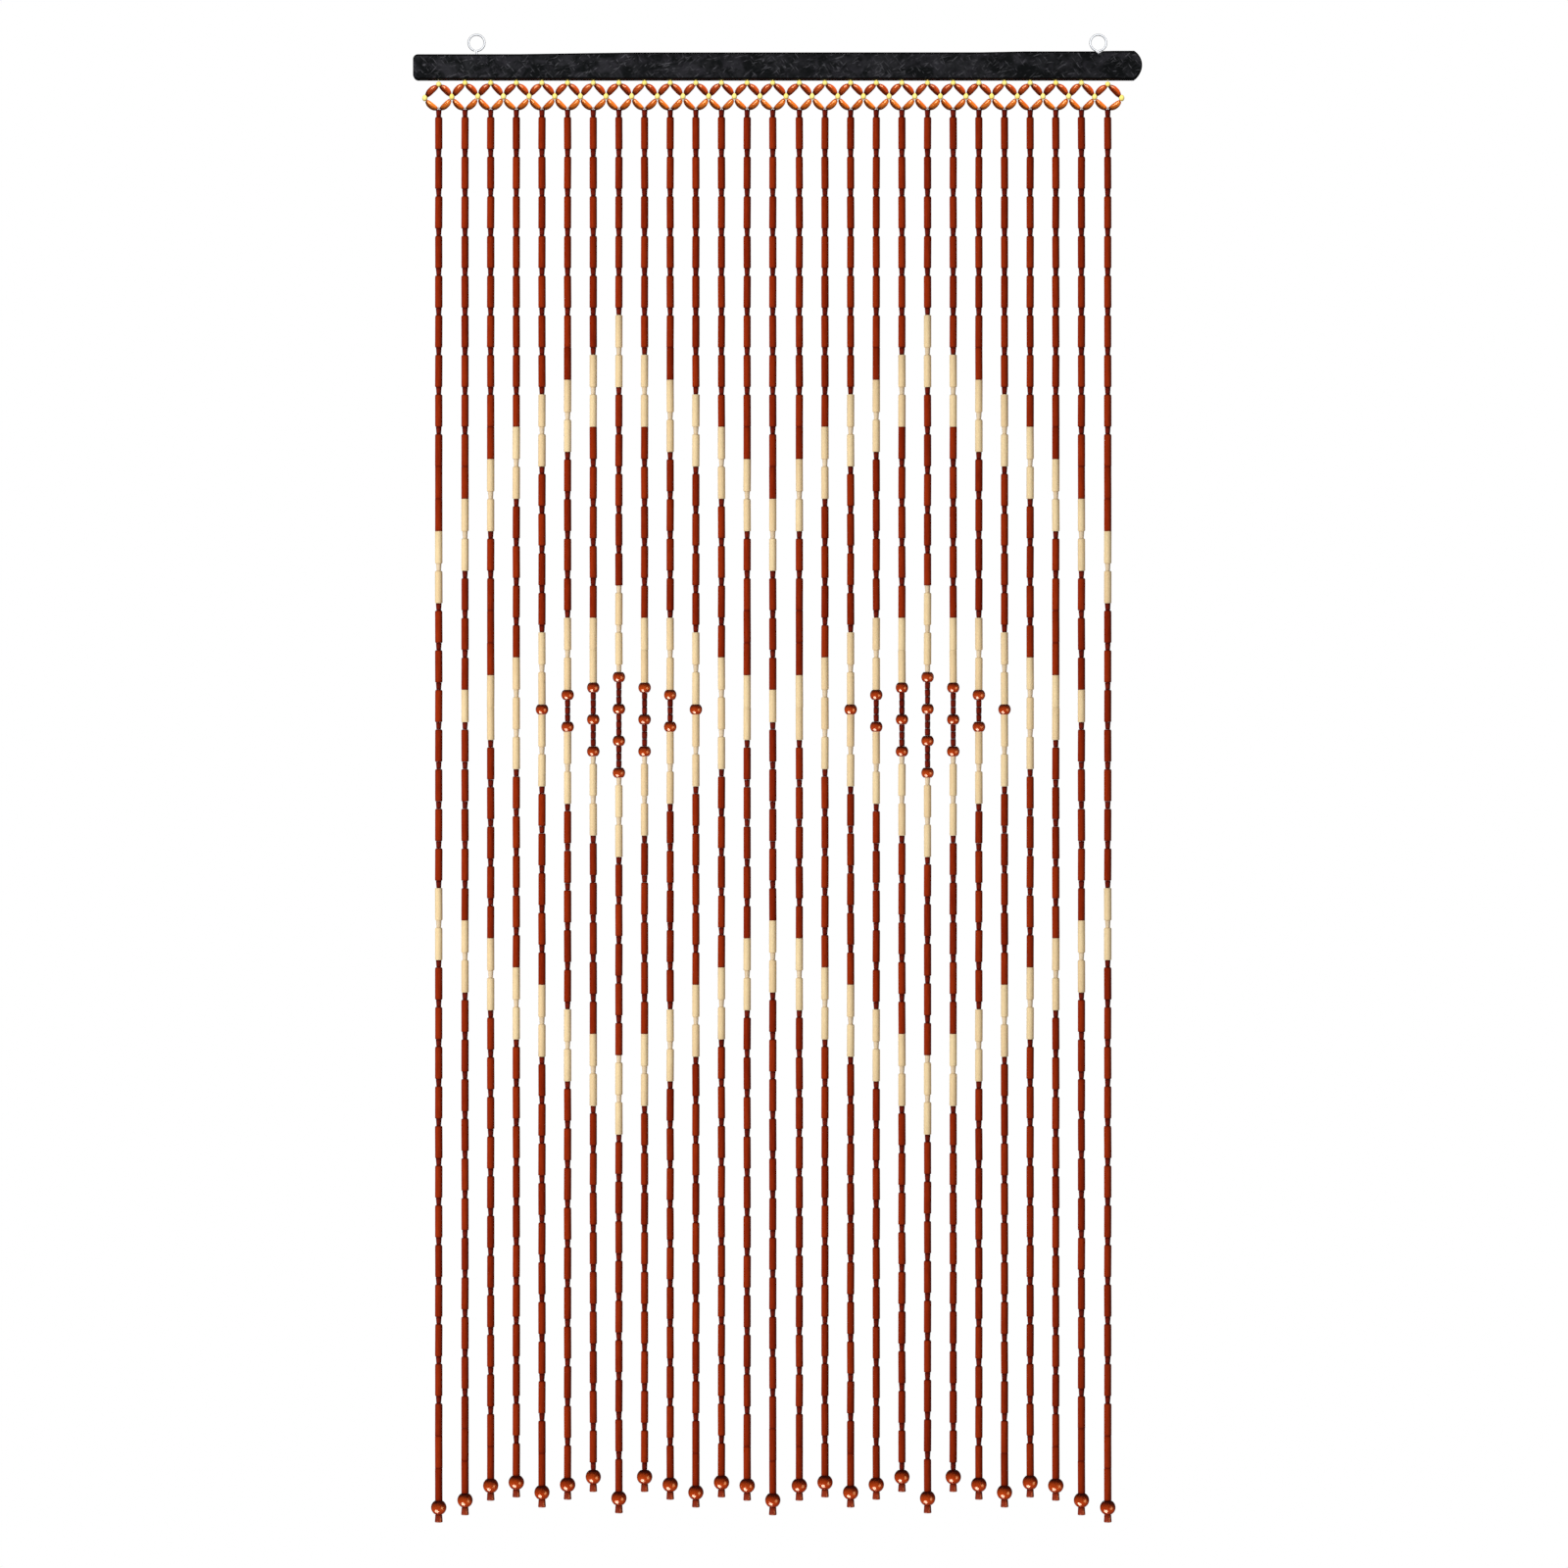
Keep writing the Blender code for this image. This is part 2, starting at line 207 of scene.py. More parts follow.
# Thread
THREAD_RADIUS = 0.00055
THREAD_SIDES = 6
THREAD_ARC_STEPS = 6
THREAD_TWISTS = 700.0
THREAD_PLY_DEPTH = 0.0001
THREAD_PLY_BUMP = 0.8
KNOT_RADIUS = 0.0009
KNOT_WIRE_RADIUS = 0.0005
KNOT_WIRE_RESOLUTION = 1
KNOT_TURNS = 2.5
KNOT_STEPS = 24
KNOT_TUCK = 0.12
KNOT_END_THINNING = 0.6
THREAD_IN_HOLE_SHARE = 0.8

LACQUER = {"roughness": 0.30, "gloss": 0.0, "coat": 1.0, "coat_roughness": 0.14}
RICE_LACQUER = {"roughness": 0.32, "gloss": 0.0, "coat": 0.9, "coat_roughness": 0.16}
# Each piece's finish: the two colours of the grain and that of the ends, as a screen shows them, how far
# the ends' colour reaches, and how fine and how long the fibres are. The ends' darker colour is partly stain
# round the bores and partly painted shade.
BEAD_FINISHES = {
    "brown_tubes": Finish(
        "brown_stained_wood", BEADS["T"],
        light=(172, 54, 13), dark=(130, 30, 5), ends=(122, 28, 8),
        end_reach=0.0026, gloss=0.10,
    ),
    "cream_tubes": Finish(
        "cream_varnished_wood", BEADS["L"],
        light=(252, 228, 180), dark=(240, 207, 158), ends=(240, 213, 165),
        end_reach=0.0016,
    ),
    "brown_spacers": Finish(
        "dark_stained_wood", BEADS["s"],
        light=(134, 36, 18), dark=(100, 22, 10), ends=(62, 9, 7),
        end_reach=0.0030, roughness=0.48,
    ),
    "cream_spacers": Finish(
        "cream_varnished_spacer_wood", BEADS["l"],
        light=(241, 219, 186), dark=(225, 201, 166), ends=(220, 194, 158),
        end_reach=0.0018,
    ),
    # On the round and foot beads the ends' colour reaches far. Besides the stain round the bores, it paints
    # shade over their tops and bottoms.
    "round_beads": Finish(
        "glossy_chestnut_wood", BEADS["o"],
        light=(206, 78, 20), dark=(180, 56, 12), ends=(100, 16, 6),
        end_reach=0.0050, fibres=520.0, stretch=5.0, **LACQUER,
    ),
    "foot_beads": Finish(
        "glossy_chestnut_foot_wood", BEADS["O"],
        light=(204, 76, 18), dark=(178, 54, 9), ends=(104, 20, 8),
        end_reach=0.0060, fibres=420.0, stretch=5.0, **LACQUER,
    ),
    "end_plugs": Finish(
        "brown_stained_plug_wood", BEADS["e"],
        light=(176, 58, 22), dark=(142, 38, 12), ends=(88, 16, 8),
        end_reach=0.0016, fibres=700.0, stretch=8.0,
        roughness=0.44, gloss=0.25, coat=0.1, coat_roughness=0.12,
    ),
    "upper_rice_beads": Finish(
        "glossy_russet_wood", RICE,
        light=(206, 90, 32), dark=(160, 50, 14), ends=(76, 12, 3),
        end_reach=0.0040, fibres=600.0, stretch=8.0, **RICE_LACQUER,
    ),
    "lower_rice_beads": Finish(
        "glossy_amber_wood", RICE,
        light=(232, 126, 42), dark=(198, 86, 20), ends=(98, 20, 5),
        end_reach=0.0034, fibres=600.0, stretch=8.0, **RICE_LACQUER,
    ),
    "yellow_beads": Finish(
        "yellow_lacquer", HEADING_BEAD,
        light=(255, 240, 150), dark=(255, 228, 112), ends=(250, 208, 84),
        end_reach=0.0012, fibres=700.0, stretch=5.0,
        roughness=0.30, gloss=0.4, coat=0.5, coat_roughness=0.08,
    ),
}
# How far the grain, a bead's own tone, the pores and the nearness to an end shift its colour
GRAIN_SHARE = 0.5
TONE_SHARE = 0.5
PORE_SHARE = 0.5
END_SHARE = 0.8
GRAIN_RANGE = (0.36, 0.64)
GRAIN_STEP_BY_TONE = 40.0
PORE_RANGE = (0.60, 0.72)
PORES_TO_FIBRE = 2.2
GRAIN_SMOOTHER = 0.05
GRAIN_ROUGHER = 0.07
GRAIN_DEPTH = 0.00006
GRAIN_BUMP = 0.5

# Bar paint
THIN_RANGE = (0.46, 0.64)
SCUFF_RANGE = (0.45, 0.75)
SCRATCH_TURNS = (0.85, -0.65, 1.35)
SCRATCH_STRETCH = 7.0
SCRATCH_RANGE = (0.66, 0.76)
SCRATCH_SHARE = 0.65
# How far up or down a face turns where the painted shade on the rounded edges begins, and where it is full
EDGE_SHADE_RANGE = (0.05, 0.35)
BRUSH_DEPTH = 0.00008
BRUSH_BUMP = 0.6

# Picture
PHOTO_SIZE = 1600
METRES_PER_PIXEL = 0.0012113
CENTRE_LINE_PIXEL = 793.45
BAR_TOP_PIXEL = 54.2
LENS = 150.0
SENSOR = 36.0
FLOOR_Z = -2.30
FLOOR_RADIUS = 3.40
FLOOR_THICKNESS = 0.02
FLOOR_SIDES = 96
CURTAIN_MIDDLE = (0.0, 0.0, -0.9)
# The pieces that each group of lights shines on
LIT_PIECES = {
    "strands": (
        "brown_tubes", "cream_tubes", "brown_spacers", "cream_spacers", "thread", "knots", "painted_bar",
    ),
    "cream": ("cream_tubes", "cream_spacers"),
    "round": ("round_beads", "foot_beads", "end_plugs"),
    "heading": ("upper_rice_beads", "lower_rice_beads"),
    "yellow": ("yellow_beads",),
    "metal": ("eye_left_screw", "eye_right_screw"),
}
# Large lights near by, each for its own group of pieces
SOFT_LIGHTS = (
    SoftLight("key_left", (-3.6, -3.9, -0.7), CURTAIN_MIDDLE, (1.8, 2.6), power=245.0, lit="strands"),
    SoftLight("fill_right", (3.0, -4.4, -0.7), CURTAIN_MIDDLE, (2.4, 2.6), power=14.0, lit="strands"),
    SoftLight("cream_fill", (3.4, -4.0, -0.7), CURTAIN_MIDDLE, (2.4, 2.6), power=34.0, lit="cream"),
    SoftLight("metal_light", (0.0, -1.6, 0.6), (0.0, 0.0, 0.0), (7.0, 4.0), power=132.0, lit="metal"),
)
WHITE = (1.0, 1.0, 1.0)
WARM = (1.0, 0.76, 0.56)
AMBER = (1.0, 0.70, 0.40)
GOLDEN = (1.0, 0.62, 0.26)
# Lights far off, by the direction they come from, their width in degrees, strength and tint. One that
# shades doesn't show in gloss, and one that doesn't shade shows in gloss alone.
FAR_LIGHTS = (
    FarLight("round_key", (-0.28, -0.66, -0.70), 12.0, 2.9, WHITE, shades=True, lit="round"),
    FarLight("gloss_low_left", (-0.42, -0.42, -0.80), 46.0, 11.5, WARM, shades=False, lit="round"),
    FarLight("gloss_right", (0.80, -0.58, -0.18), 40.0, 2.8, GOLDEN, shades=False, lit="round"),
    FarLight("heading_key", (0.44, -0.42, 0.79), 16.0, 5.6, WHITE, shades=True, lit="heading"),
    FarLight("gloss_high", (-0.06, -0.72, 0.69), 40.0, 7.0, AMBER, shades=False, lit="heading"),
    FarLight("yellow_key", (-0.20, -0.85, 0.48), 40.0, 4.4, WHITE, shades=True, lit="yellow"),
    FarLight("back_light", (-0.12, 0.96, 0.24), 30.0, 2.6, WHITE, shades=True, lit="all_pieces"),
    FarLight("floor_light", (0.20, -0.40, 0.90), 12.0, 2.9, WHITE, shades=True, lit="floor"),
)
# The surround's strength low down, high up and in gloss, and how far up and down it changes
SURROUND_BELOW = 0.24
SURROUND_ABOVE = 0.05
SURROUND_IN_GLOSS = 0.05
SURROUND_REACH = 0.8


def linear(channel):
    """A channel of a screen colour, from 0 to 255, as light."""
    share = channel / 255
    return share / 12.92 if share <= 0.04045 else ((share + 0.055) / 1.055) ** 2.4


def shade(red, green, blue):
    return linear(red), linear(green), linear(blue), 1.0


# Node trees


def add(tree, kind, inputs=None, **settings):
    """Adds a node with its settings, and links or fills its inputs by name or number."""
    node = tree.nodes.new(kind)
    for name, value in settings.items():
        setattr(node, name, value)
    for name, value in (inputs or {}).items():
        if isinstance(value, bpy.types.NodeSocket):
            tree.links.new(value, node.inputs[name])
        else:
            node.inputs[name].default_value = value
    return node


def new_tree(name, kind, inputs, outputs):
    """A node group with sockets by name and type. It comes with what goes into it and out of it."""
    tree = bpy.data.node_groups.new(name, kind)
    for in_out, sockets in (("INPUT", inputs), ("OUTPUT", outputs)):
        for socket, kind_name in sockets.items():
            tree.interface.new_socket(socket, in_out=in_out, socket_type=f"NodeSocket{kind_name}")
    return tree, tree.nodes.new("NodeGroupInput").outputs, tree.nodes.new("NodeGroupOutput").inputs


def maths(tree, operation, first, second=0.0, third=0.0, clamp=False):
    values = {0: first, 1: second, 2: third}
    return add(tree, "ShaderNodeMath", values, operation=operation, use_clamp=clamp).outputs[0]


def vector_maths(tree, operation, first, second):
    return add(tree, "ShaderNodeVectorMath", {0: first, 1: second}, operation=operation).outputs[0]


def vector(tree, x, y, z):
    return add(tree, "ShaderNodeCombineXYZ", {0: x, 1: y, 2: z}).outputs[0]


def noise(tree, inputs, **settings):
    return add(tree, "ShaderNodeTexNoise", inputs, **settings).outputs[0]


def risen(tree, value, low, high, **settings):
    """0 up to the low value, 1 from the high value on, and a rise between them."""
    values = {"Value": value, "From Min": low, "From Max": high}
    return add(tree, "ShaderNodeMapRange", values, **settings).outputs[0]


def attribute(tree, name, output="Fac"):
    return add(tree, "ShaderNodeAttribute", attribute_name=name).outputs[output]


def object_place(tree):
    return add(tree, "ShaderNodeTexCoord").outputs["Object"]


def random_number(tree, low, high, seed):
    values = {2: low, 3: high, 8: seed}
    return add(tree, "FunctionNodeRandomValue", values, data_type="FLOAT").outputs[1]


def named_attribute(tree, name, data_type):
    node = add(tree, "GeometryNodeInputNamedAttribute", {"Name": name}, data_type=data_type)
    return node.outputs["Attribute"]


def stored(tree, geometry, name, value, domain):
    """The geometry with a number of its own at every point or instance."""
    values = {"Geometry": geometry, "Name": name, "Value": value}
    node = add(tree, "GeometryNodeStoreNamedAttribute", values, data_type="FLOAT", domain=domain)
    return node.outputs[0]


def finished(tree, geometry, material):
    """The geometry as one plain mesh with its material."""
    plain = add(tree, "GeometryNodeRealizeInstances", {"Geometry": geometry}).outputs[0]
    return add(tree, "GeometryNodeSetMaterial", {"Geometry": plain, "Material": material}).outputs[0]


def build_string_beads():
    """Sets a bead on every point, turned, leaned and sized by chance, and joins them into one mesh."""
    tree, given, made = new_tree(
        "string_beads",
        "GeometryNodeTree",
        {
            "Points": "Geometry",
            "Shapes": "Collection",
            "Finish": "Material",
            "Turn": "Float",
            "Lean": "Float",
            "Size Spread": "Float",
            "Seed": "Int",
        },
        {"Beads": "Geometry"},
    )

    def seed(step):
        values = {0: given["Seed"], 1: step}
        return add(tree, "FunctionNodeIntegerMath", values, operation="ADD").outputs[0]

    def either_way(reach, step):
        return random_number(tree, maths(tree, "MULTIPLY", reach, -1.0), reach, seed(step))

    turn = random_number(tree, 0.0, given["Turn"], seed(3))
    chance = vector(tree, either_way(given["Lean"], 1), either_way(given["Lean"], 2), turn)
    facing = named_attribute(tree, "facing", "FLOAT_VECTOR")
    set_facing, set_chance = (
        add(tree, "FunctionNodeEulerToRotation", {0: euler}).outputs[0] for euler in (facing, chance)
    )
    turned = add(
        tree,
        "FunctionNodeRotateRotation",
        {"Rotation": set_facing, "Rotate By": set_chance},
        rotation_space="LOCAL",
    )
    girth = maths(tree, "ADD", 1.0, either_way(given["Size Spread"], 4))
    own_size = named_attribute(tree, "size", "FLOAT_VECTOR")
    shapes = add(
        tree,
        "GeometryNodeCollectionInfo",
        {"Collection": given["Shapes"], "Separate Children": True, "Reset Children": True},
    )
    strung = add(
        tree,
        "GeometryNodeInstanceOnPoints",
        {
            "Points": given["Points"],
            "Instance": shapes.outputs[0],
            "Pick Instance": True,
            "Instance Index": named_attribute(tree, "shape", "INT"),
            "Rotation": turned.outputs[0],
            "Scale": vector_maths(tree, "MULTIPLY", own_size, vector(tree, girth, girth, 1.0)),
        },
    )
    tone = random_number(tree, 0.0, 1.0, seed(5))
    toned = stored(tree, strung.outputs[0], "bead_tone", tone, "INSTANCE")
    tree.links.new(finished(tree, toned, given["Finish"]), made[0])
    return tree


def build_run_thread():
    """Turns chains of edges into round thread, and keeps how far along and around each point lies."""
    tree, given, made = new_tree(
        "run_thread",
        "GeometryNodeTree",
        {"Lines": "Geometry", "Finish": "Material", "Radius": "Float", "Sides": "Int"},
        {"Thread": "Geometry"},
    )
    lines = add(tree, "GeometryNodeMeshToCurve", {"Mesh": given["Lines"]}).outputs[0]
    values = {"Resolution": given["Sides"], "Radius": given["Radius"]}
    circle = add(tree, "GeometryNodeCurvePrimitiveCircle", values).outputs[0]
    along = add(tree, "GeometryNodeSplineParameter").outputs
    values = {
        "Curve": stored(tree, lines, "thread_along", along["Length"], "POINT"),
        "Profile Curve": stored(tree, circle, "thread_around", along["Factor"], "POINT"),
        "Fill Caps": True,
    }
    tube = add(tree, "GeometryNodeCurveToMesh", values).outputs[0]
    tree.links.new(finished(tree, tube, given["Finish"]), made[0])
    return tree


# Meshes


def new_object(name, data):
    made = bpy.data.objects.new(name, data)
    bpy.context.scene.collection.objects.link(made)
    return made


def evaluated_mesh(source):
    """The evaluated mesh of an object, which is then removed."""
    graph = bpy.context.evaluated_depsgraph_get()
    mesh = bpy.data.meshes.new_from_object(source.evaluated_get(graph))
    bpy.data.objects.remove(source, do_unlink=True)
    return mesh


def grown(source, tree, values):
    """The plain mesh that a node tree makes from an object with the named input values."""
    modifier = source.modifiers.new(tree.name, "NODES")
    modifier.node_group = tree
    for item in tree.interface.items_tree:
        if item.item_type == "SOCKET" and item.name in values:
            modifier[item.identifier] = values[item.name]
    source.update_tag()
    return evaluated_mesh(source)


def mesh_of(name, shape):
    mesh = bpy.data.meshes.new(name)
    shape.to_mesh(mesh)
    shape.free()
    return mesh


def merged(mesh):
    shape = bmesh.new()
    shape.from_mesh(mesh)
    bmesh.ops.remove_doubles(shape, verts=shape.verts, dist=MERGE_DISTANCE)
    bmesh.ops.recalc_face_normals(shape, faces=shape.faces)
    shape.to_mesh(mesh)
    shape.free()
    return mesh


def smoothed(mesh):
    mesh.shade_smooth()
    mesh.set_sharp_from_angle(angle=SHARP_ANGLE)
    return mesh


def keep_places(mesh):
    """Stores where each point lies in its own bead, so that a finish can follow the bead."""
    places = mesh.attributes.new("bead_place", "FLOAT_VECTOR", "POINT")
    for place, point in zip(places.data, mesh.vertices):
        place.vector = point.co
    return mesh


def turned_mesh(name, rings, sides):
    """A closed shape turned about Z from rings of height and radius, listed from top to bottom."""
    shape = bmesh.new()
    profile = [(0.0, rings[0].along), *((ring.radius, ring.along) for ring in rings), (0.0, rings[-1].along)]
    points = [shape.verts.new((radius, 0.0, height)) for radius, height in profile]
    edges = [shape.edges.new(pair) for pair in zip(points, points[1:])]
    bmesh.ops.spin(
        shape,
        geom=points + edges,
        axis=(0.0, 0.0, 1.0),
        cent=(0.0, 0.0, 0.0),
        steps=sides,
        angle=FULL_TURN,
    )
    return smoothed(merged(mesh_of(name, shape)))


def joined_mesh(name, meshes):
    shape = bmesh.new()
    for mesh in meshes:
        shape.from_mesh(mesh)
    return mesh_of(name, shape)


def poly_curve(name, points, dimensions):
    """A curve object's data with straight lines between points, and its spline."""
    curve = bpy.data.curves.new(name, "CURVE")
    curve.dimensions = dimensions
    spline = curve.splines.new("POLY")
    spline.points.add(len(points) - 1)
    for point, place in zip(spline.points, points):
        point.co = (*place, 1.0)
    return curve, spline


def swept_mesh(name, points, radius, resolution, radii=None):
    """A wire along a list of points, with closed ends. Radii are shares of its radius."""
    curve, spline = poly_curve(name, points, "3D")
    curve.bevel_depth = radius
    curve.bevel_resolution = resolution
    curve.use_fill_caps = True
    for point, share in zip(spline.points, radii or [1.0] * len(points)):
        point.radius = share
    return merged(evaluated_mesh(new_object(name, curve)))


def carved(mesh, tool_mesh, operation, solver):
    """The mesh with a tool cut from it or joined to it."""
    tool = new_object("tool", tool_mesh)
    piece = new_object("piece", mesh)
    modifier = piece.modifiers.new(operation, "BOOLEAN")
    modifier.operation = operation
    modifier.solver = solver
    modifier.object = tool
    made = evaluated_mesh(piece)
    bpy.data.objects.remove(tool, do_unlink=True)
    return made


def arc(centre, radius, start, end, steps):
    """Points of an arc in two directions, with its angles in degrees from the first to the second."""
    points = []
    for i in range(steps + 1):
        angle = math.radians(start + (end - start) * i / steps)
        points.append((centre[0] + radius * math.cos(angle), centre[1] + radius * math.sin(angle)))
    return points


def as_piece(name, mesh, replaced, material=None):
    """A piece that replaces a node of the model. Without a material it keeps its mesh's own."""
    piece = new_object(name, mesh)
    mesh.name = name
    if material:
        mesh.materials.clear()
        mesh.materials.append(material)
    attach(piece, "root")
    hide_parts(replaced)
    return piece


# Bead shapes


def from_top(rings, length):
    """Rings given from the top down, as heights about the middle of the bead."""
    return [Ring(length / 2 - ring.along, ring.radius) for ring in rings]


def from_foot(rings, length):
    """Rings given from the foot up, as heights about the middle of the bead, from the top down."""
    return [Ring(ring.along - length / 2, ring.radius) for ring in reversed(rings)]


def tube_shape(name, top, foot):
    length = BEADS["T"].length - BEAD_GAP
    return keep_places(turned_mesh(name, from_top(top, length) + from_foot(foot, length), TUBE_SIDES))


def spacer_shape(name, rings):
    length = BEADS["s"].length - BEAD_GAP
    return keep_places(turned_mesh(name, from_top(rings, length), SPACER_SIDES))


def round_shape(name, bead, sides, rings):
    """A ball with flat ends, softly rounded at their rims and sunk a little round the bore."""
    half = (bead.length - BEAD_GAP) / 2
    cut = math.acos(min(1.0, half / bead.radius))
    flat = bead.radius * math.sin(cut)
    first = math.degrees(cut + RIM_ROUND / bead.radius)
    outline = table(Ring, *arc((0.0, 0.0), bead.radius, first, 180 - first, rings))
    rim = flat - RIM_ROUND
    bore_foot = Ring(half - BORE_DEPTH, BORE_RADIUS * BORE_TAPER)
    top = [bore_foot, Ring(half, BORE_RADIUS), Ring(half, rim)]
    foot = [Ring(-ring.along, ring.radius) for ring in reversed(top)]
    return keep_places(turned_mesh(name, [*top, *outline, *foot], sides))


def plug_shape(name):
    length = BEADS["e"].length - BEAD_GAP
    half = length / 2
    rings = [
        *from_top(PLUG_TOP, length),
        Ring(0.0, PLUG_MIDDLE_RADIUS),
        *from_foot(PLUG_FOOT, length),
        Ring(-half, PLUG_DIMPLE),
        Ring(-half + PLUG_DIMPLE, PLUG_DIMPLE * PLUG_DIMPLE_TAPER),
    ]
    return keep_places(turned_mesh(name, rings, ROUND_SIDES))


def rice_shape(name):
    """A long bead with blunt ends, bowed towards +X."""
    half = RICE.length / 2
    rings = []
    for i in range(RICE_RINGS + 1):
        share = 1 - 2 * i / RICE_RINGS
        girth = RICE_END_GIRTH + (1 - RICE_END_GIRTH) * (1 - abs(share) ** RICE_BLUNTNESS)
        rings.append(Ring(half * share, RICE.radius * girth))
    mesh = keep_places(turned_mesh(name, rings, SMALL_ROUND_SIDES))
    for point in mesh.vertices:
        point.co.x += RICE_BOW * (1 - (point.co.z / half) ** 2)
    return mesh


def knot_shape(name):
    """A few close turns of thread with both ends tucked in."""
    points = []
    radii = []
    for i in range(KNOT_STEPS + 1):
        share = i / KNOT_STEPS
        angle = FULL_TURN * KNOT_TURNS * share
        height = (share - 0.5) * 2 * KNOT_WIRE_RADIUS * KNOT_TURNS
        girth = KNOT_RADIUS * math.sin(math.pi * (KNOT_TUCK + (1 - 2 * KNOT_TUCK) * share))
        points.append((girth * math.cos(angle), girth * math.sin(angle), height))
        radii.append(KNOT_END_THINNING if i in (0, KNOT_STEPS) else 1.0)
    mesh = swept_mesh(name, points, KNOT_WIRE_RADIUS, KNOT_WIRE_RESOLUTION, radii)
    return keep_places(smoothed(mesh))


# Where the beads hang


def strand_x(strand):
    x = MIDDLE_STRAND_X + (strand - MIDDLE_STRAND) * STRAND_PITCH
    if strand > MIDDLE_STRAND:
        x += GAP_RIGHT_OF_MIDDLE
    if strand == 0:
        x -= OUTER_STRAND_EXTRA
    if strand == STRANDS - 1:
        x += OUTER_STRAND_EXTRA
    return x


def chart_letters(chart):
    """The chart written out in full, one letter for each bead."""
    letters = ""
    for group in chart.split():
        repeat, beads = re.fullmatch(r"(\d*)(\w+)", group).groups()
        letters += beads * int(repeat or 1)
    return letters


def shape_number(letter, above, below):
    """Which of its kind's shapes a bead has between these neighbours."""
    if letter in OWN_SPACER:
        spacer = OWN_SPACER[letter]
        return 2 * (above == spacer) + (below == spacer)
    if letter in OWN_SPACER.values():
        return int(below in OWN_SPACER)
    return 0


def hang_strands():
    """The places of all beads on the strands, by letter, and the foot of each strand."""
    places = {letter: [] for letter in BEADS}
    feet = []
    for strand in range(STRANDS):
        steps_from_diamond = min(abs(strand - middle) for middle in DIAMOND_STRANDS)
        letters = chart_letters(CHARTS[steps_from_diamond])
        z = STRAND_TOP_Z
        for i, letter in enumerate(letters):
            length = BEADS[letter].length
            number = shape_number(letter, letters[i - 1 : i], letters[i + 1 : i + 2])
            girth = BEADS["l"].radius / BEADS["s"].radius if letter == "l" else 1.0
            centre = (strand_x(strand), 0.0, z - length / 2)
            places[letter].append(Place(centre, number, size=(girth, girth, 1.0)))
            z -= length
        feet.append(Vector((strand_x(strand), 0.0, z)))
    return places, feet


def heading_points():
    """Places of the heading's beads: the row under the bar and the middle row."""
    last = STRANDS - 1
    top_z = BAR_UNDERSIDE - CLEARANCE - HEADING_BEAD.radius
    tops = [Vector((strand_x(i), 0.0, top_z)) for i in range(STRANDS)]
    middle_x = [(strand_x(i) + strand_x(i + 1)) / 2 for i in range(last)]
    middle_x = [strand_x(0) - HEADING_END_OUT, *middle_x, strand_x(last) + HEADING_END_OUT]
    middles = [Vector((x, 0.0, HEADING_MIDDLE_Z)) for x in middle_x]
    for points, end, drop in (
        (tops, 0, OUTER_TOP_DROP),
        (middles, 0, OUTER_MIDDLE_DROP),
        (middles, 1, NEXT_MIDDLE_DROP),
    ):
        points[end].z -= drop
        points[-1 - end].z -= drop
    return tops, middles


def rice_link(high, low, inside, girth):
    """The place of a rice bead between two points, bowed away from the inside of its diamond."""
    along = (high - low).normalized()
    centre = (low + high) / 2
    outwards = centre - inside
    outwards = (outwards - along * outwards.dot(along)).normalized()
    axes = Matrix((outwards, along.cross(outwards), along)).transposed()
    stretch = (high - low).length / RICE.length
    return Place(centre, 0, tuple(axes.to_euler()), (girth, girth, stretch))


def link_line(start, link, end):
    """The thread's way from one point to another through the bow of a rice bead."""
    axes = Euler(link.facing).to_matrix()
    half = RICE.length * link.size[2] / 2
    line = [start]
    for i in range(THREAD_ARC_STEPS + 1):
        share = 1 - 2 * i / THREAD_ARC_STEPS
        bow = RICE_BOW * (1 - share**2)
        line.append(link.centre + axes @ Vector((bow, 0.0, half * share)))
    return [*line, end]


def hang_heading():
    """The rice beads of the upper and the lower row, and the thread that runs through them."""
    tops, middles = heading_points()
    upper = []
    lower = []
    lines = []
    for i, top in enumerate(tops):
        knot = Vector((strand_x(i), 0.0, STRAND_TOP_Z + KNOT_ABOVE_STRAND))
        inside = (top + knot) / 2
        for side, middle in ((-1, middles[i]), (1, middles[i + 1])):
            setback = (top - middle).normalized() * RICE_SETBACK
            high = rice_link(top - setback, middle + setback, inside, UPPER_RICE_GIRTH)
            start = middle - Vector((side * LOWER_RICE_SIDE, 0.0, LOWER_RICE_DROP))
            foot = Vector((strand_x(i) + side * FOOT_SPREAD, 0.0, STRAND_TOP_Z + FOOT_ABOVE_STRAND))
            low = rice_link(start, foot, inside, LOWER_RICE_GIRTH)
            upper.append(high)
            lower.append(low)
            lines.append(link_line(top, high, middle) + link_line(middle, low, knot)[1:])
    return upper, lower, lines


# Shader groups


def build_bead_coordinates():
    """Where a point lies in its own bead, the bead's own tone, and the nearness to its ends."""
    tree, given, made = new_tree(
        "bead_coordinates",
        "ShaderNodeTree",
        {"Half Length": "Float", "End Reach": "Float"},
        {"Place": "Vector", "Tone": "Float", "End": "Float"},
    )
    place = attribute(tree, "bead_place", "Vector")
    height = add(tree, "ShaderNodeSeparateXYZ", {0: place}).outputs["Z"]
    end = given["Half Length"]
    inner = maths(tree, "SUBTRACT", end, given["End Reach"])
    height = maths(tree, "ABSOLUTE", height)
    nearness = risen(tree, height, inner, end, interpolation_type="SMOOTHSTEP")
    tree.links.new(place, made["Place"])
    tree.links.new(attribute(tree, "bead_tone"), made["Tone"])
    tree.links.new(nearness, made["End"])
    return tree


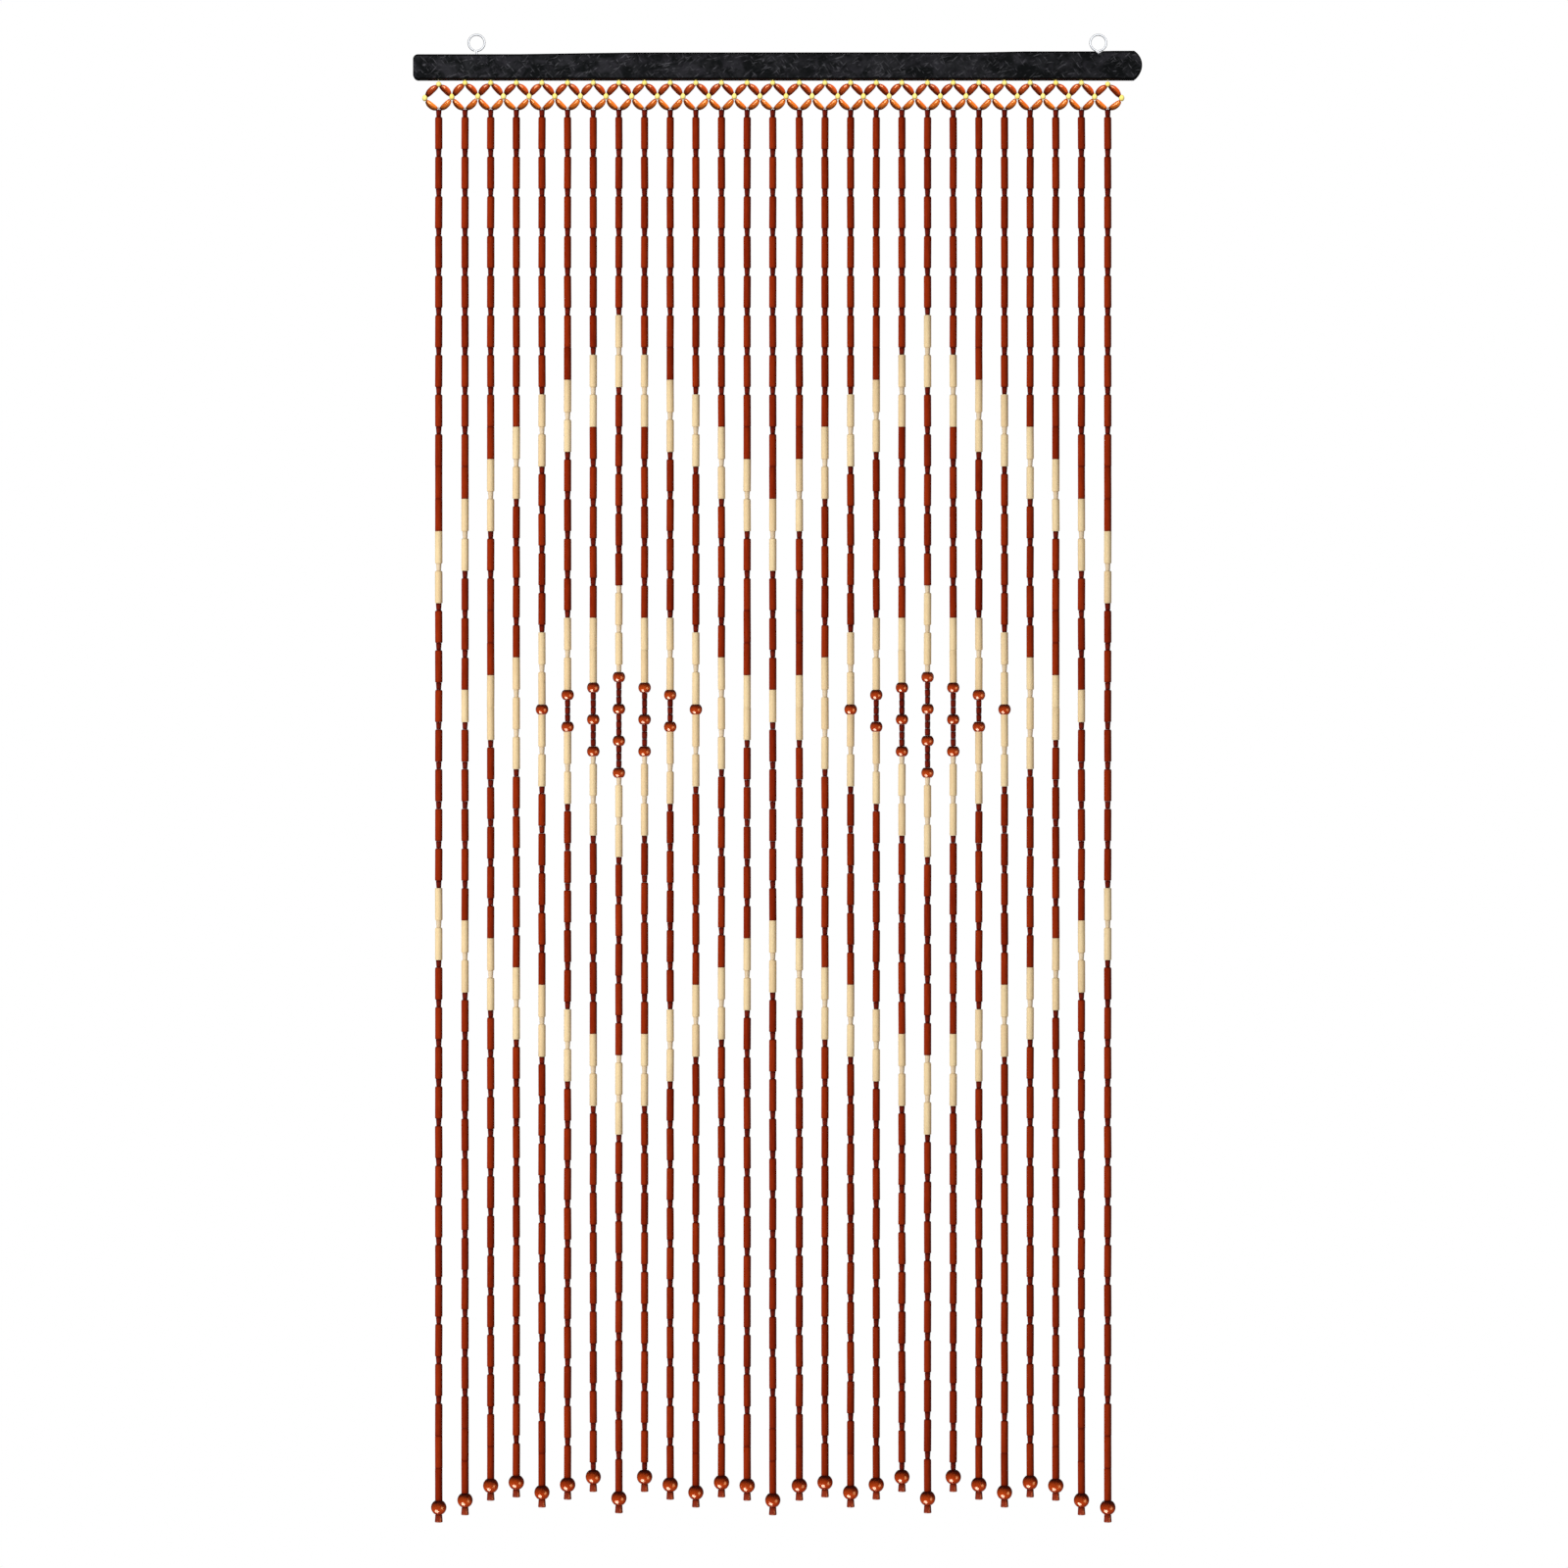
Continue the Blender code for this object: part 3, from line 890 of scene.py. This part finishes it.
def build_wood_grain():
    """Fibres that run along Z, with pores between them, as a mask and a height."""
    tree, given, made = new_tree(
        "wood_grain",
        "ShaderNodeTree",
        {"Place": "Vector", "Tone": "Float", "Fibres": "Float", "Stretch": "Float"},
        {"Grain": "Float", "Pores": "Float", "Height": "Float"},
    )
    ratio = vector(tree, 1.0, 1.0, maths(tree, "DIVIDE", 1.0, given["Stretch"]))
    where = {
        "Vector": vector_maths(tree, "MULTIPLY", given["Place"], ratio),
        "W": maths(tree, "MULTIPLY", given["Tone"], GRAIN_STEP_BY_TONE),
    }
    grain = {**where, "Scale": given["Fibres"], "Detail": 3.0, "Roughness": 0.6}
    fibres = noise(tree, grain, noise_dimensions="4D")
    scale = maths(tree, "MULTIPLY", given["Fibres"], PORES_TO_FIBRE)
    pores = noise(tree, {**where, "Scale": scale, "Detail": 1.0}, noise_dimensions="4D")
    pores = risen(tree, pores, *PORE_RANGE)
    tree.links.new(fibres, made["Grain"])
    tree.links.new(pores, made["Pores"])
    tree.links.new(maths(tree, "SUBTRACT", fibres, pores), made["Height"])
    return tree


def build_scuffs():
    """Patches and fine marks left by handling, from 0 where clean to 1 where rubbed."""
    tree, given, made = new_tree(
        "scuffs",
        "ShaderNodeTree",
        {"Place": "Vector", "Patch Scale": "Float", "Mark Scale": "Float", "Amount": "Float"},
        {"Rubbed": "Float"},
    )
    values = {"Vector": given["Place"], "Scale": given["Patch Scale"], "Detail": 4.0, "Distortion": 0.8}
    patches = risen(tree, noise(tree, values), *SCUFF_RANGE)
    marks = noise(tree, {"Vector": given["Place"], "Scale": given["Mark Scale"], "Detail": 2.0})
    mixed = maths(tree, "MULTIPLY", patches, marks)
    tree.links.new(maths(tree, "MULTIPLY", mixed, given["Amount"], clamp=True), made["Rubbed"])
    return tree


# Materials


def new_material(name, roughness, gloss=0.5, metallic=0.0, coat=0.0, coat_roughness=0.1):
    material = bpy.data.materials.new(name)
    material.use_nodes = True
    shader = material.node_tree.nodes["Principled BSDF"]
    shader.inputs["Roughness"].default_value = roughness
    shader.inputs["Specular IOR Level"].default_value = gloss
    shader.inputs["Metallic"].default_value = metallic
    shader.inputs["Coat Weight"].default_value = coat
    shader.inputs["Coat Roughness"].default_value = coat_roughness
    return material, material.node_tree, shader


def blended(tree, share, first, second):
    node = add(tree, "ShaderNodeMix", {"Factor": share}, data_type="RGBA")
    for socket, value in (("A", first), ("B", second)):
        target = next(s for s in node.inputs if s.name == socket and s.type == "RGBA")
        if isinstance(value, bpy.types.NodeSocket):
            tree.links.new(value, target)
        else:
            target.default_value = value
    return next(s for s in node.outputs if s.type == "RGBA")


def use_bump(tree, shader, height, distance, strength):
    bump = add(tree, "ShaderNodeBump", {"Height": height, "Distance": distance, "Strength": strength})
    tree.links.new(bump.outputs["Normal"], shader.inputs["Normal"])


def use_roughness(tree, shader, value, low, high):
    """Roughness that runs from low to high as a value runs from 0 to 1."""
    spread = add(tree, "ShaderNodeMapRange", {"Value": value, "To Min": low, "To Max": high})
    tree.links.new(spread.outputs[0], shader.inputs["Roughness"])


def bead_finish(groups, finish):
    """Stained and lacquered wood: grain between two colours, its own tone for each bead, and ends darkened
    partly by stain and partly as painted shade.
    """
    material, tree, shader = new_material(
        finish.name,
        finish.roughness,
        gloss=finish.gloss,
        coat=finish.coat,
        coat_roughness=finish.coat_roughness,
    )
    values = {"Half Length": finish.bead.length / 2, "End Reach": finish.end_reach}
    where = add(tree, "ShaderNodeGroup", values, node_tree=groups["bead_coordinates"]).outputs
    values = {
        "Place": where["Place"],
        "Tone": where["Tone"],
        "Fibres": finish.fibres,
        "Stretch": finish.stretch,
    }
    grain = add(tree, "ShaderNodeGroup", values, node_tree=groups["wood_grain"]).outputs
    light, dark, ends = shade(*finish.light), shade(*finish.dark), shade(*finish.ends)
    contrast = risen(tree, grain["Grain"], *GRAIN_RANGE)
    uneven = maths(tree, "MULTIPLY", where["Tone"], TONE_SHARE)
    share = maths(tree, "MULTIPLY_ADD", contrast, GRAIN_SHARE, uneven, clamp=True)
    colour = blended(tree, share, light, dark)
    colour = blended(tree, maths(tree, "MULTIPLY", grain["Pores"], PORE_SHARE), colour, dark)
    # Darker towards each end: partly stain round the bores, partly painted shade at the bead's ends and in
    # the joints between beads.
    colour = blended(tree, maths(tree, "MULTIPLY", where["End"], END_SHARE), colour, ends)
    tree.links.new(colour, shader.inputs["Base Color"])
    low, high = finish.roughness - GRAIN_SMOOTHER, finish.roughness + GRAIN_ROUGHER
    use_roughness(tree, shader, contrast, low, high)
    use_bump(tree, shader, grain["Height"], GRAIN_DEPTH, GRAIN_BUMP)
    return material


def bar_paint(groups):
    """Black satin paint, mottled where the brush left it thin, with scratches and rubbed patches, and
    painted shade that darkens faces turning up or down: the rounded edges, the top and the underside.
    """
    material, tree, shader = new_material("black_satin_paint", 0.55, gloss=0.25)
    place = object_place(tree)
    values = {"Vector": place, "Rotation": (0.0, 0.5, 0.0), "Scale": (1.0, 1.0, 1.4)}
    streaked = add(tree, "ShaderNodeMapping", values).outputs[0]
    values = {"Vector": streaked, "Scale": 46.0, "Detail": 7.0, "Roughness": 0.70, "Distortion": 0.9}
    thin = risen(tree, noise(tree, values), *THIN_RANGE)
    values = {"Place": place, "Patch Scale": 45.0, "Mark Scale": 1400.0, "Amount": 0.9}
    scuffs = add(tree, "ShaderNodeGroup", values, node_tree=groups["scuffs"])
    scratches = 0.0
    for turn in SCRATCH_TURNS:
        values = {"Vector": place, "Rotation": (0.0, turn, 0.0), "Scale": (1.0, 1.0, SCRATCH_STRETCH)}
        slanted = add(tree, "ShaderNodeMapping", values, vector_type="TEXTURE").outputs[0]
        lines = noise(tree, {"Vector": slanted, "Scale": 640.0, "Detail": 1.0})
        scratches = maths(tree, "MAXIMUM", lines, scratches)
    marks = risen(tree, scratches, *SCRATCH_RANGE)
    # Painted shade: the more a face turns up or down, the darker it is drawn, along the rounded edges and
    # over the top and underside.
    facing = add(tree, "ShaderNodeSeparateXYZ", {0: add(tree, "ShaderNodeNewGeometry").outputs["Normal"]})
    painted_edge_shade = risen(tree, maths(tree, "ABSOLUTE", facing.outputs["Z"]), *EDGE_SHADE_RANGE)
    colour = blended(tree, thin, shade(20, 22, 23), shade(48, 47, 52))
    colour = blended(tree, maths(tree, "MULTIPLY", marks, SCRATCH_SHARE), colour, shade(104, 103, 108))
    colour = blended(tree, scuffs.outputs["Rubbed"], colour, shade(64, 64, 68))
    # The near-black colour of the painted shade on faces that turn up or down
    colour = blended(tree, painted_edge_shade, colour, shade(7, 8, 9))
    tree.links.new(colour, shader.inputs["Base Color"])
    use_roughness(tree, shader, thin, 0.62, 0.44)
    brush = add(tree, "ShaderNodeMapping", {"Vector": place, "Scale": (0.08, 1.0, 1.0)}).outputs[0]
    ridges = noise(tree, {"Vector": brush, "Scale": 1100.0, "Detail": 2.0})
    use_bump(tree, shader, ridges, BRUSH_DEPTH, BRUSH_BUMP)
    return material


def eye_metal(groups):
    """Bright zinc plate with a light haze of handling."""
    material, tree, shader = new_material("zinc_plated_steel", 0.22, metallic=1.0)
    values = {"Place": object_place(tree), "Patch Scale": 350.0, "Mark Scale": 2500.0, "Amount": 1.0}
    rubbed = add(tree, "ShaderNodeGroup", values, node_tree=groups["scuffs"]).outputs["Rubbed"]
    colour = blended(tree, rubbed, shade(236, 238, 242), shade(196, 199, 206))
    tree.links.new(colour, shader.inputs["Base Color"])
    use_roughness(tree, shader, rubbed, 0.44, 0.58)
    return material


def thread_finish():
    """Pale twisted nylon, with painted shade in the grooves between its plies."""
    material, tree, shader = new_material("pale_nylon_thread", 0.38)
    along, around = attribute(tree, "thread_along"), attribute(tree, "thread_around")
    turns = maths(tree, "MULTIPLY_ADD", along, THREAD_TWISTS, around)
    wave = maths(tree, "SINE", maths(tree, "MULTIPLY", turns, FULL_TURN))
    ply = maths(tree, "MULTIPLY_ADD", wave, 0.5, 0.5)
    # Painted shade: darker in the grooves between the plies and paler on their crowns
    colour = blended(tree, ply, shade(214, 196, 178), shade(246, 238, 226))
    tree.links.new(colour, shader.inputs["Base Color"])
    use_roughness(tree, shader, ply, 0.46, 0.34)
    use_bump(tree, shader, ply, THREAD_PLY_DEPTH, THREAD_PLY_BUMP)
    return material


def make_materials():
    groups = {
        "bead_coordinates": build_bead_coordinates(),
        "wood_grain": build_wood_grain(),
        "scuffs": build_scuffs(),
    }
    materials = {name: bead_finish(groups, finish) for name, finish in BEAD_FINISHES.items()}
    materials["thread"] = materials["knots"] = thread_finish()
    materials["bar"] = bar_paint(groups)
    materials["eye"] = eye_metal(groups)
    return materials


# Pieces


def string_beads(tree, row, materials):
    """One piece of many beads: one of the row's shapes on every place."""
    mesh = bpy.data.meshes.new(row.name)
    mesh.from_pydata([place.centre for place in row.places], [], [])
    number = mesh.attributes.new("shape", "INT", "POINT")
    facing = mesh.attributes.new("facing", "FLOAT_VECTOR", "POINT")
    size = mesh.attributes.new("size", "FLOAT_VECTOR", "POINT")
    for i, place in enumerate(row.places):
        number.data[i].value = place.shape
        facing.data[i].vector = place.facing
        size.data[i].vector = place.size
    store = bpy.data.collections.new(f"{row.name}_shapes")
    patterns = [
        bpy.data.objects.new(f"{row.name}_shape_{i}", shape) for i, shape in enumerate(row.shapes)
    ]
    for pattern in patterns:
        store.objects.link(pattern)
    values = {
        "Shapes": store,
        "Finish": materials[row.name],
        "Turn": row.turn,
        "Lean": row.lean,
        "Size Spread": row.spread,
        "Seed": row.seed,
    }
    grown_mesh = grown(new_object(f"{row.name}_points", mesh), tree, values)
    for pattern in patterns:
        bpy.data.objects.remove(pattern, do_unlink=True)
    bpy.data.collections.remove(store)
    return as_piece(row.name, grown_mesh, "bead_strands")


def strand_rows(places):
    """The beads that hang on the strands. Lean is in radians, and spread is a share of the girth."""
    tubes = [
        tube_shape(f"tube_{i}{j}", top, foot)
        for i, top in enumerate((SQUARE_END, TAPERED_TOP))
        for j, foot in enumerate((SQUARE_END, TAPERED_FOOT))
    ]
    spacers = [
        spacer_shape("straight_spacer", STRAIGHT_SPACER),
        spacer_shape("narrowing_spacer", NARROWING_SPACER),
    ]
    ball = [round_shape("ball", BEADS["o"], ROUND_SIDES, ROUND_RINGS)]
    foot_ball = [round_shape("foot_ball", BEADS["O"], ROUND_SIDES, ROUND_RINGS)]
    plug = [plug_shape("plug")]
    return (
        BeadRow("brown_tubes", places["T"], tubes, "brown_wood", lean=0.006, spread=0.012, seed=0),
        BeadRow("cream_tubes", places["L"], tubes, "cream_wood", lean=0.006, spread=0.012, seed=10),
        BeadRow("brown_spacers", places["s"], spacers, "brown_wood", lean=0.020, spread=0.012, seed=20),
        BeadRow("cream_spacers", places["l"], spacers, "cream_wood", lean=0.020, spread=0.012, seed=30),
        BeadRow("round_beads", places["o"], ball, "glossy_wood", lean=0.015, spread=0.012, seed=40),
        BeadRow("foot_beads", places["O"], foot_ball, "glossy_wood", lean=0.015, spread=0.012, seed=50),
        BeadRow("end_plugs", places["e"], plug, "brown_wood", lean=0.010, spread=0.012, seed=60),
    )


def heading_rows(upper, lower):
    """The beads of the heading. The rice beads keep the bow's side, so chance doesn't turn them."""
    rice = [rice_shape("rice")]
    small = [round_shape("small_ball", HEADING_BEAD, SMALL_ROUND_SIDES, SMALL_ROUND_RINGS)]
    tops, middles = heading_points()
    points = [Place(point) for point in tops]
    points += [Place(point, size=(1.0, 1.0, MIDDLE_BEAD_STRETCH)) for point in middles]
    return (
        BeadRow("upper_rice_beads", upper, rice, "glossy_wood", lean=0.03, spread=0.02, seed=101, turn=0.0),
        BeadRow("lower_rice_beads", lower, rice, "glossy_wood", lean=0.03, spread=0.02, seed=111, turn=0.0),
        BeadRow("yellow_beads", points, small, "yellow_bead", lean=0.08, spread=0.02, seed=121),
    )


def make_thread(bead_tree, thread_tree, lines, feet, materials):
    """The thread through all beads, and its knots over the strands and in the end plugs."""
    inside_bar = BAR_UNDERSIDE + THREAD_IN_HOLE_SHARE * THREAD_HOLE_DEPTH
    lines = [*lines, *([top, Vector((top.x, 0.0, inside_bar))] for top in heading_points()[0])]
    knots = []
    for foot in feet:
        high = Vector((foot.x, 0.0, STRAND_TOP_Z + KNOT_ABOVE_STRAND))
        low = foot + Vector((0.0, 0.0, PLUG_DIMPLE))
        lines.append([high, low])
        knots += [Place(high, size=KNOT_SIZE), Place(low)]
    points = []
    edges = []
    for line in lines:
        first = len(points)
        points += line
        edges += [(i, i + 1) for i in range(first, len(points) - 1)]
    mesh = bpy.data.meshes.new("thread_lines")
    mesh.from_pydata(points, edges, [])
    values = {"Finish": materials["thread"], "Radius": THREAD_RADIUS, "Sides": THREAD_SIDES}
    thread = grown(new_object("thread_lines", mesh), thread_tree, values)
    thread = as_piece("thread", merged(thread), "bead_strands")
    row = BeadRow("knots", knots, [knot_shape("knot")], "cord", lean=0.1, spread=0.1, seed=107)
    return thread, string_beads(bead_tree, row, materials)


def bar_outline():
    left, right = -BAR_LENGTH / 2, BAR_LENGTH / 2
    low = BAR_UNDERSIDE
    corner = LEFT_CORNER_RADIUS
    outline = arc((left + corner, low + corner), corner, 180, 270, END_STEPS)
    half = RIGHT_END_HEIGHT / 2
    radius = (half**2 + RIGHT_END_BULGE**2) / (2 * RIGHT_END_BULGE)
    reach = math.degrees(math.asin(half / radius))
    outline += arc((right - radius, low + half), radius, -reach, reach, 2 * END_STEPS)
    for row in reversed(TOP_EDGE):
        outline.append((left + row.along, low + row.height))
    outline += arc((left + corner, low + LEFT_END_HEIGHT - corner), corner, 90, 180, END_STEPS)
    return outline


def top_edge_z(x):
    """Height of the bar's top edge at x."""
    along = x + BAR_LENGTH / 2
    for before, after in zip(TOP_EDGE, TOP_EDGE[1:]):
        if before.along <= along <= after.along:
            share = (along - before.along) / (after.along - before.along)
            return BAR_UNDERSIDE + before.height + share * (after.height - before.height)
    return BAR_UNDERSIDE + (LEFT_END_HEIGHT if along < TOP_EDGE[0].along else RIGHT_END_HEIGHT)


def extruded(name, outline, depth, edge_round):
    """A flat outline in X and Z, thickened to both sides of Y = 0, as a closed mesh."""
    curve, spline = poly_curve(name, [(x, z, 0.0) for x, z in outline], "2D")
    spline.use_cyclic_u = True
    curve.fill_mode = "BOTH"
    curve.extrude = depth / 2 - edge_round
    curve.bevel_depth = edge_round
    curve.bevel_resolution = BAR_ROUND_STEPS
    curve.offset = -edge_round
    mesh = evaluated_mesh(new_object(name, curve))
    mesh.transform(Matrix.Rotation(math.pi / 2, 4, "X"))
    return merged(mesh)


def eye_notch():
    """The groove across the bar's top under the right eye, which reaches above the edge."""
    x = EYE_X["eye_right"]
    top = top_edge_z(x)
    outline = (
        (x, top - EYE_NOTCH_DEPTH),
        (x + EYE_NOTCH_WIDTH, top + EYE_NOTCH_DEPTH),
        (x - EYE_NOTCH_WIDTH, top + EYE_NOTCH_DEPTH),
    )
    return extruded("eye_notch", outline, 2 * BAR_DEPTH, 0.0)


def hole(name, x, radius, high, low):
    mesh = turned_mesh(name, (Ring(high, radius), Ring(low, radius)), SMALL_ROUND_SIDES)
    mesh.transform(Matrix.Translation((x, 0.0, 0.0)))
    return mesh


def make_bar(material):
    holes = [
        hole(name, x, EYE_WIRE_RADIUS + CLEARANCE, EYE_CENTRE_Z, EYE_SHANK_END_Z - CLEARANCE)
        for name, x in EYE_X.items()
    ]
    high = BAR_UNDERSIDE + THREAD_HOLE_DEPTH
    low = BAR_UNDERSIDE - THREAD_HOLE_DEPTH
    holes += [hole("thread_hole", strand_x(i), THREAD_HOLE_RADIUS, high, low) for i in range(STRANDS)]
    bar = extruded("bar", bar_outline(), BAR_DEPTH, BAR_EDGE_ROUND)
    for tool in (joined_mesh("holes", holes), eye_notch()):
        bar = carved(bar, tool, "DIFFERENCE", "EXACT")
    return as_piece("painted_bar", smoothed(merged(bar)), "bar", material)


def make_eye(name, x, material):
    """One wire: a threaded point, a neck that bends aside, and a ring that comes back to the neck."""
    tip = Vector((0.0, 0.0, EYE_SHANK_END_Z))
    neck = Vector((0.0, 0.0, EYE_CENTRE_Z - EYE_RING_RADIUS - EYE_NECK_DROP))
    start, end = EYE_GAP_HALF_DEGREES - 90, 270 - EYE_GAP_HALF_DEGREES
    circle = arc((0.0, EYE_CENTRE_Z), EYE_RING_RADIUS, start, end, EYE_RING_STEPS)
    ring = [Vector((across, 0.0, height)) for across, height in circle]
    bend = (neck - tip).length * EYE_BEND_SHARE
    heading = (ring[1] - ring[0]).normalized()
    leave = neck + Vector((0.0, 0.0, bend))
    joint = interpolate_bezier(neck, leave, ring[0] - heading * bend, ring[0], EYE_BEND_POINTS)
    shank = [tip.lerp(neck, i / EYE_SHANK_STEPS) for i in range(EYE_SHANK_STEPS)]
    points = shank + joint[:-1] + ring
    radii = []
    for point in shank:
        share = (point - tip).length / EYE_POINT_LENGTH
        radii.append(min(1.0, EYE_POINT_GIRTH + share * (1 - EYE_POINT_GIRTH)))
    radii += [1.0] * (len(points) - len(shank))
    wire = swept_mesh(name, points, EYE_WIRE_RADIUS, EYE_WIRE_SIDES_RESOLUTION, radii)
    ridge = []
    for i in range(EYE_THREAD_STEPS + 1):
        angle = FULL_TURN * EYE_THREAD_TURNS * i / EYE_THREAD_STEPS
        height = EYE_SHANK_END_Z + EYE_POINT_LENGTH
        height += (EYE_THREAD_TOP_Z - height) * i / EYE_THREAD_STEPS
        ridge.append((EYE_WIRE_RADIUS * math.cos(angle), EYE_WIRE_RADIUS * math.sin(angle), height))
    ridge_mesh = swept_mesh("ridge", ridge, EYE_THREAD_RIDGE, EYE_RIDGE_RESOLUTION)
    mesh = smoothed(merged(carved(wire, ridge_mesh, "UNION", "MANIFOLD")))
    mesh.transform(Matrix.Translation((x, 0.0, 0.0)))
    return as_piece(f"{name}_screw", mesh, name, material)


# Picture


def make_camera():
    """Looks straight at the front, with the photograph's framing."""
    across = (PHOTO_SIZE / 2 - CENTRE_LINE_PIXEL) * METRES_PER_PIXEL
    height = (BAR_TOP_PIXEL - PHOTO_SIZE / 2) * METRES_PER_PIXEL
    distance = PHOTO_SIZE * METRES_PER_PIXEL * LENS / SENSOR
    data = bpy.data.cameras.new("camera")
    data.lens = LENS
    data.sensor_width = SENSOR
    camera = new_object("camera", data)
    camera.location = (across, -distance, height)
    camera.rotation_euler = (math.pi / 2, 0.0, 0.0)
    bpy.context.scene.camera = camera


def place_lamp(data, light, direction, groups):
    """A lamp that lights one group from a direction. The group shades itself, and all shade the floor."""
    lamp = new_object(light.name, data)
    lamp.rotation_euler = Vector(direction).to_track_quat("Z", "Y").to_euler()
    lamp.visible_camera = False
    lamp.light_linking.receiver_collection = groups[light.lit]
    shading = "all_pieces" if light.lit == "floor" else light.lit
    lamp.light_linking.blocker_collection = groups[shading]
    return lamp


def make_soft_light(light, groups):
    data = bpy.data.lights.new(light.name, "AREA")
    data.shape = "RECTANGLE"
    data.size, data.size_y = light.size
    data.energy = light.power
    lamp = place_lamp(data, light, Vector(light.place) - Vector(light.aim), groups)
    lamp.location = light.place
    lamp.visible_glossy = light.lit == "metal"


def make_far_light(light, groups):
    data = bpy.data.lights.new(light.name, "SUN")
    data.angle = math.radians(light.width)
    data.energy = light.strength
    data.color = light.tint
    lamp = place_lamp(data, light, light.towards, groups)
    lamp.visible_diffuse = light.shades
    lamp.visible_glossy = not light.shades


def make_surround():
    """White where the camera sees it, and dim for its light and in gloss."""
    world = bpy.data.worlds.new("surround")
    world.use_nodes = True
    bpy.context.scene.world = world
    tree = world.node_tree
    direction = add(tree, "ShaderNodeTexCoord").outputs["Generated"]
    height = add(tree, "ShaderNodeSeparateXYZ", {0: direction}).outputs["Z"]
    dim = {
        "Value": height,
        "From Min": -SURROUND_REACH,
        "From Max": SURROUND_REACH,
        "To Min": SURROUND_BELOW,
        "To Max": SURROUND_ABOVE,
    }
    strength = add(tree, "ShaderNodeMapRange", dim).outputs[0]
    path = add(tree, "ShaderNodeLightPath").outputs
    for ray, seen in (("Is Glossy Ray", SURROUND_IN_GLOSS), ("Is Camera Ray", 1.0)):
        values = {"Factor": path[ray], "A": strength, "B": seen}
        strength = add(tree, "ShaderNodeMix", values, data_type="FLOAT").outputs[0]
    background = tree.nodes["Background"]
    background.inputs["Color"].default_value = (*WHITE, 1.0)
    tree.links.new(strength, background.inputs["Strength"])


def make_floor():
    rings = (Ring(FLOOR_Z, FLOOR_RADIUS), Ring(FLOOR_Z - FLOOR_THICKNESS, FLOOR_RADIUS))
    floor = new_object("floor", turned_mesh("floor", rings, FLOOR_SIDES))
    material, tree, shader = new_material("pale_floor", 0.7)
    cloud = noise(tree, {"Vector": object_place(tree), "Scale": 3.0, "Detail": 3.0})
    colour = blended(tree, cloud, shade(238, 237, 234), shade(244, 243, 241))
    tree.links.new(colour, shader.inputs["Base Color"])
    floor.data.materials.append(material)
    floor.visible_diffuse = False
    floor.visible_glossy = False
    floor.visible_shadow = False
    return floor


def make_studio(pieces):
    """The surround, the floor and the lights, each of which has its own group of pieces."""
    make_surround()
    groups = {name: [piece for piece in pieces if piece.name in lit] for name, lit in LIT_PIECES.items()}
    groups["all_pieces"] = sorted(pieces, key=lambda piece: piece.name)
    groups["floor"] = [make_floor()]
    collections = {}
    for name, members in groups.items():
        collections[name] = bpy.data.collections.new(f"lit_{name}")
        for piece in members:
            collections[name].objects.link(piece)
    for light in SOFT_LIGHTS:
        make_soft_light(light, collections)
    for light in FAR_LIGHTS:
        make_far_light(light, collections)


def main():
    make_camera()
    materials = make_materials()
    bead_tree = build_string_beads()
    thread_tree = build_run_thread()
    places, feet = hang_strands()
    upper, lower, lines = hang_heading()
    rows = (*strand_rows(places), *heading_rows(upper, lower))
    pieces = [string_beads(bead_tree, row, materials) for row in rows]
    pieces += make_thread(bead_tree, thread_tree, lines, feet, materials)
    pieces.append(make_bar(materials["bar"]))
    pieces += [make_eye(name, x, materials["eye"]) for name, x in EYE_X.items()]
    make_studio(pieces)
    bpy.context.scene.view_settings.view_transform = "Standard"


main()
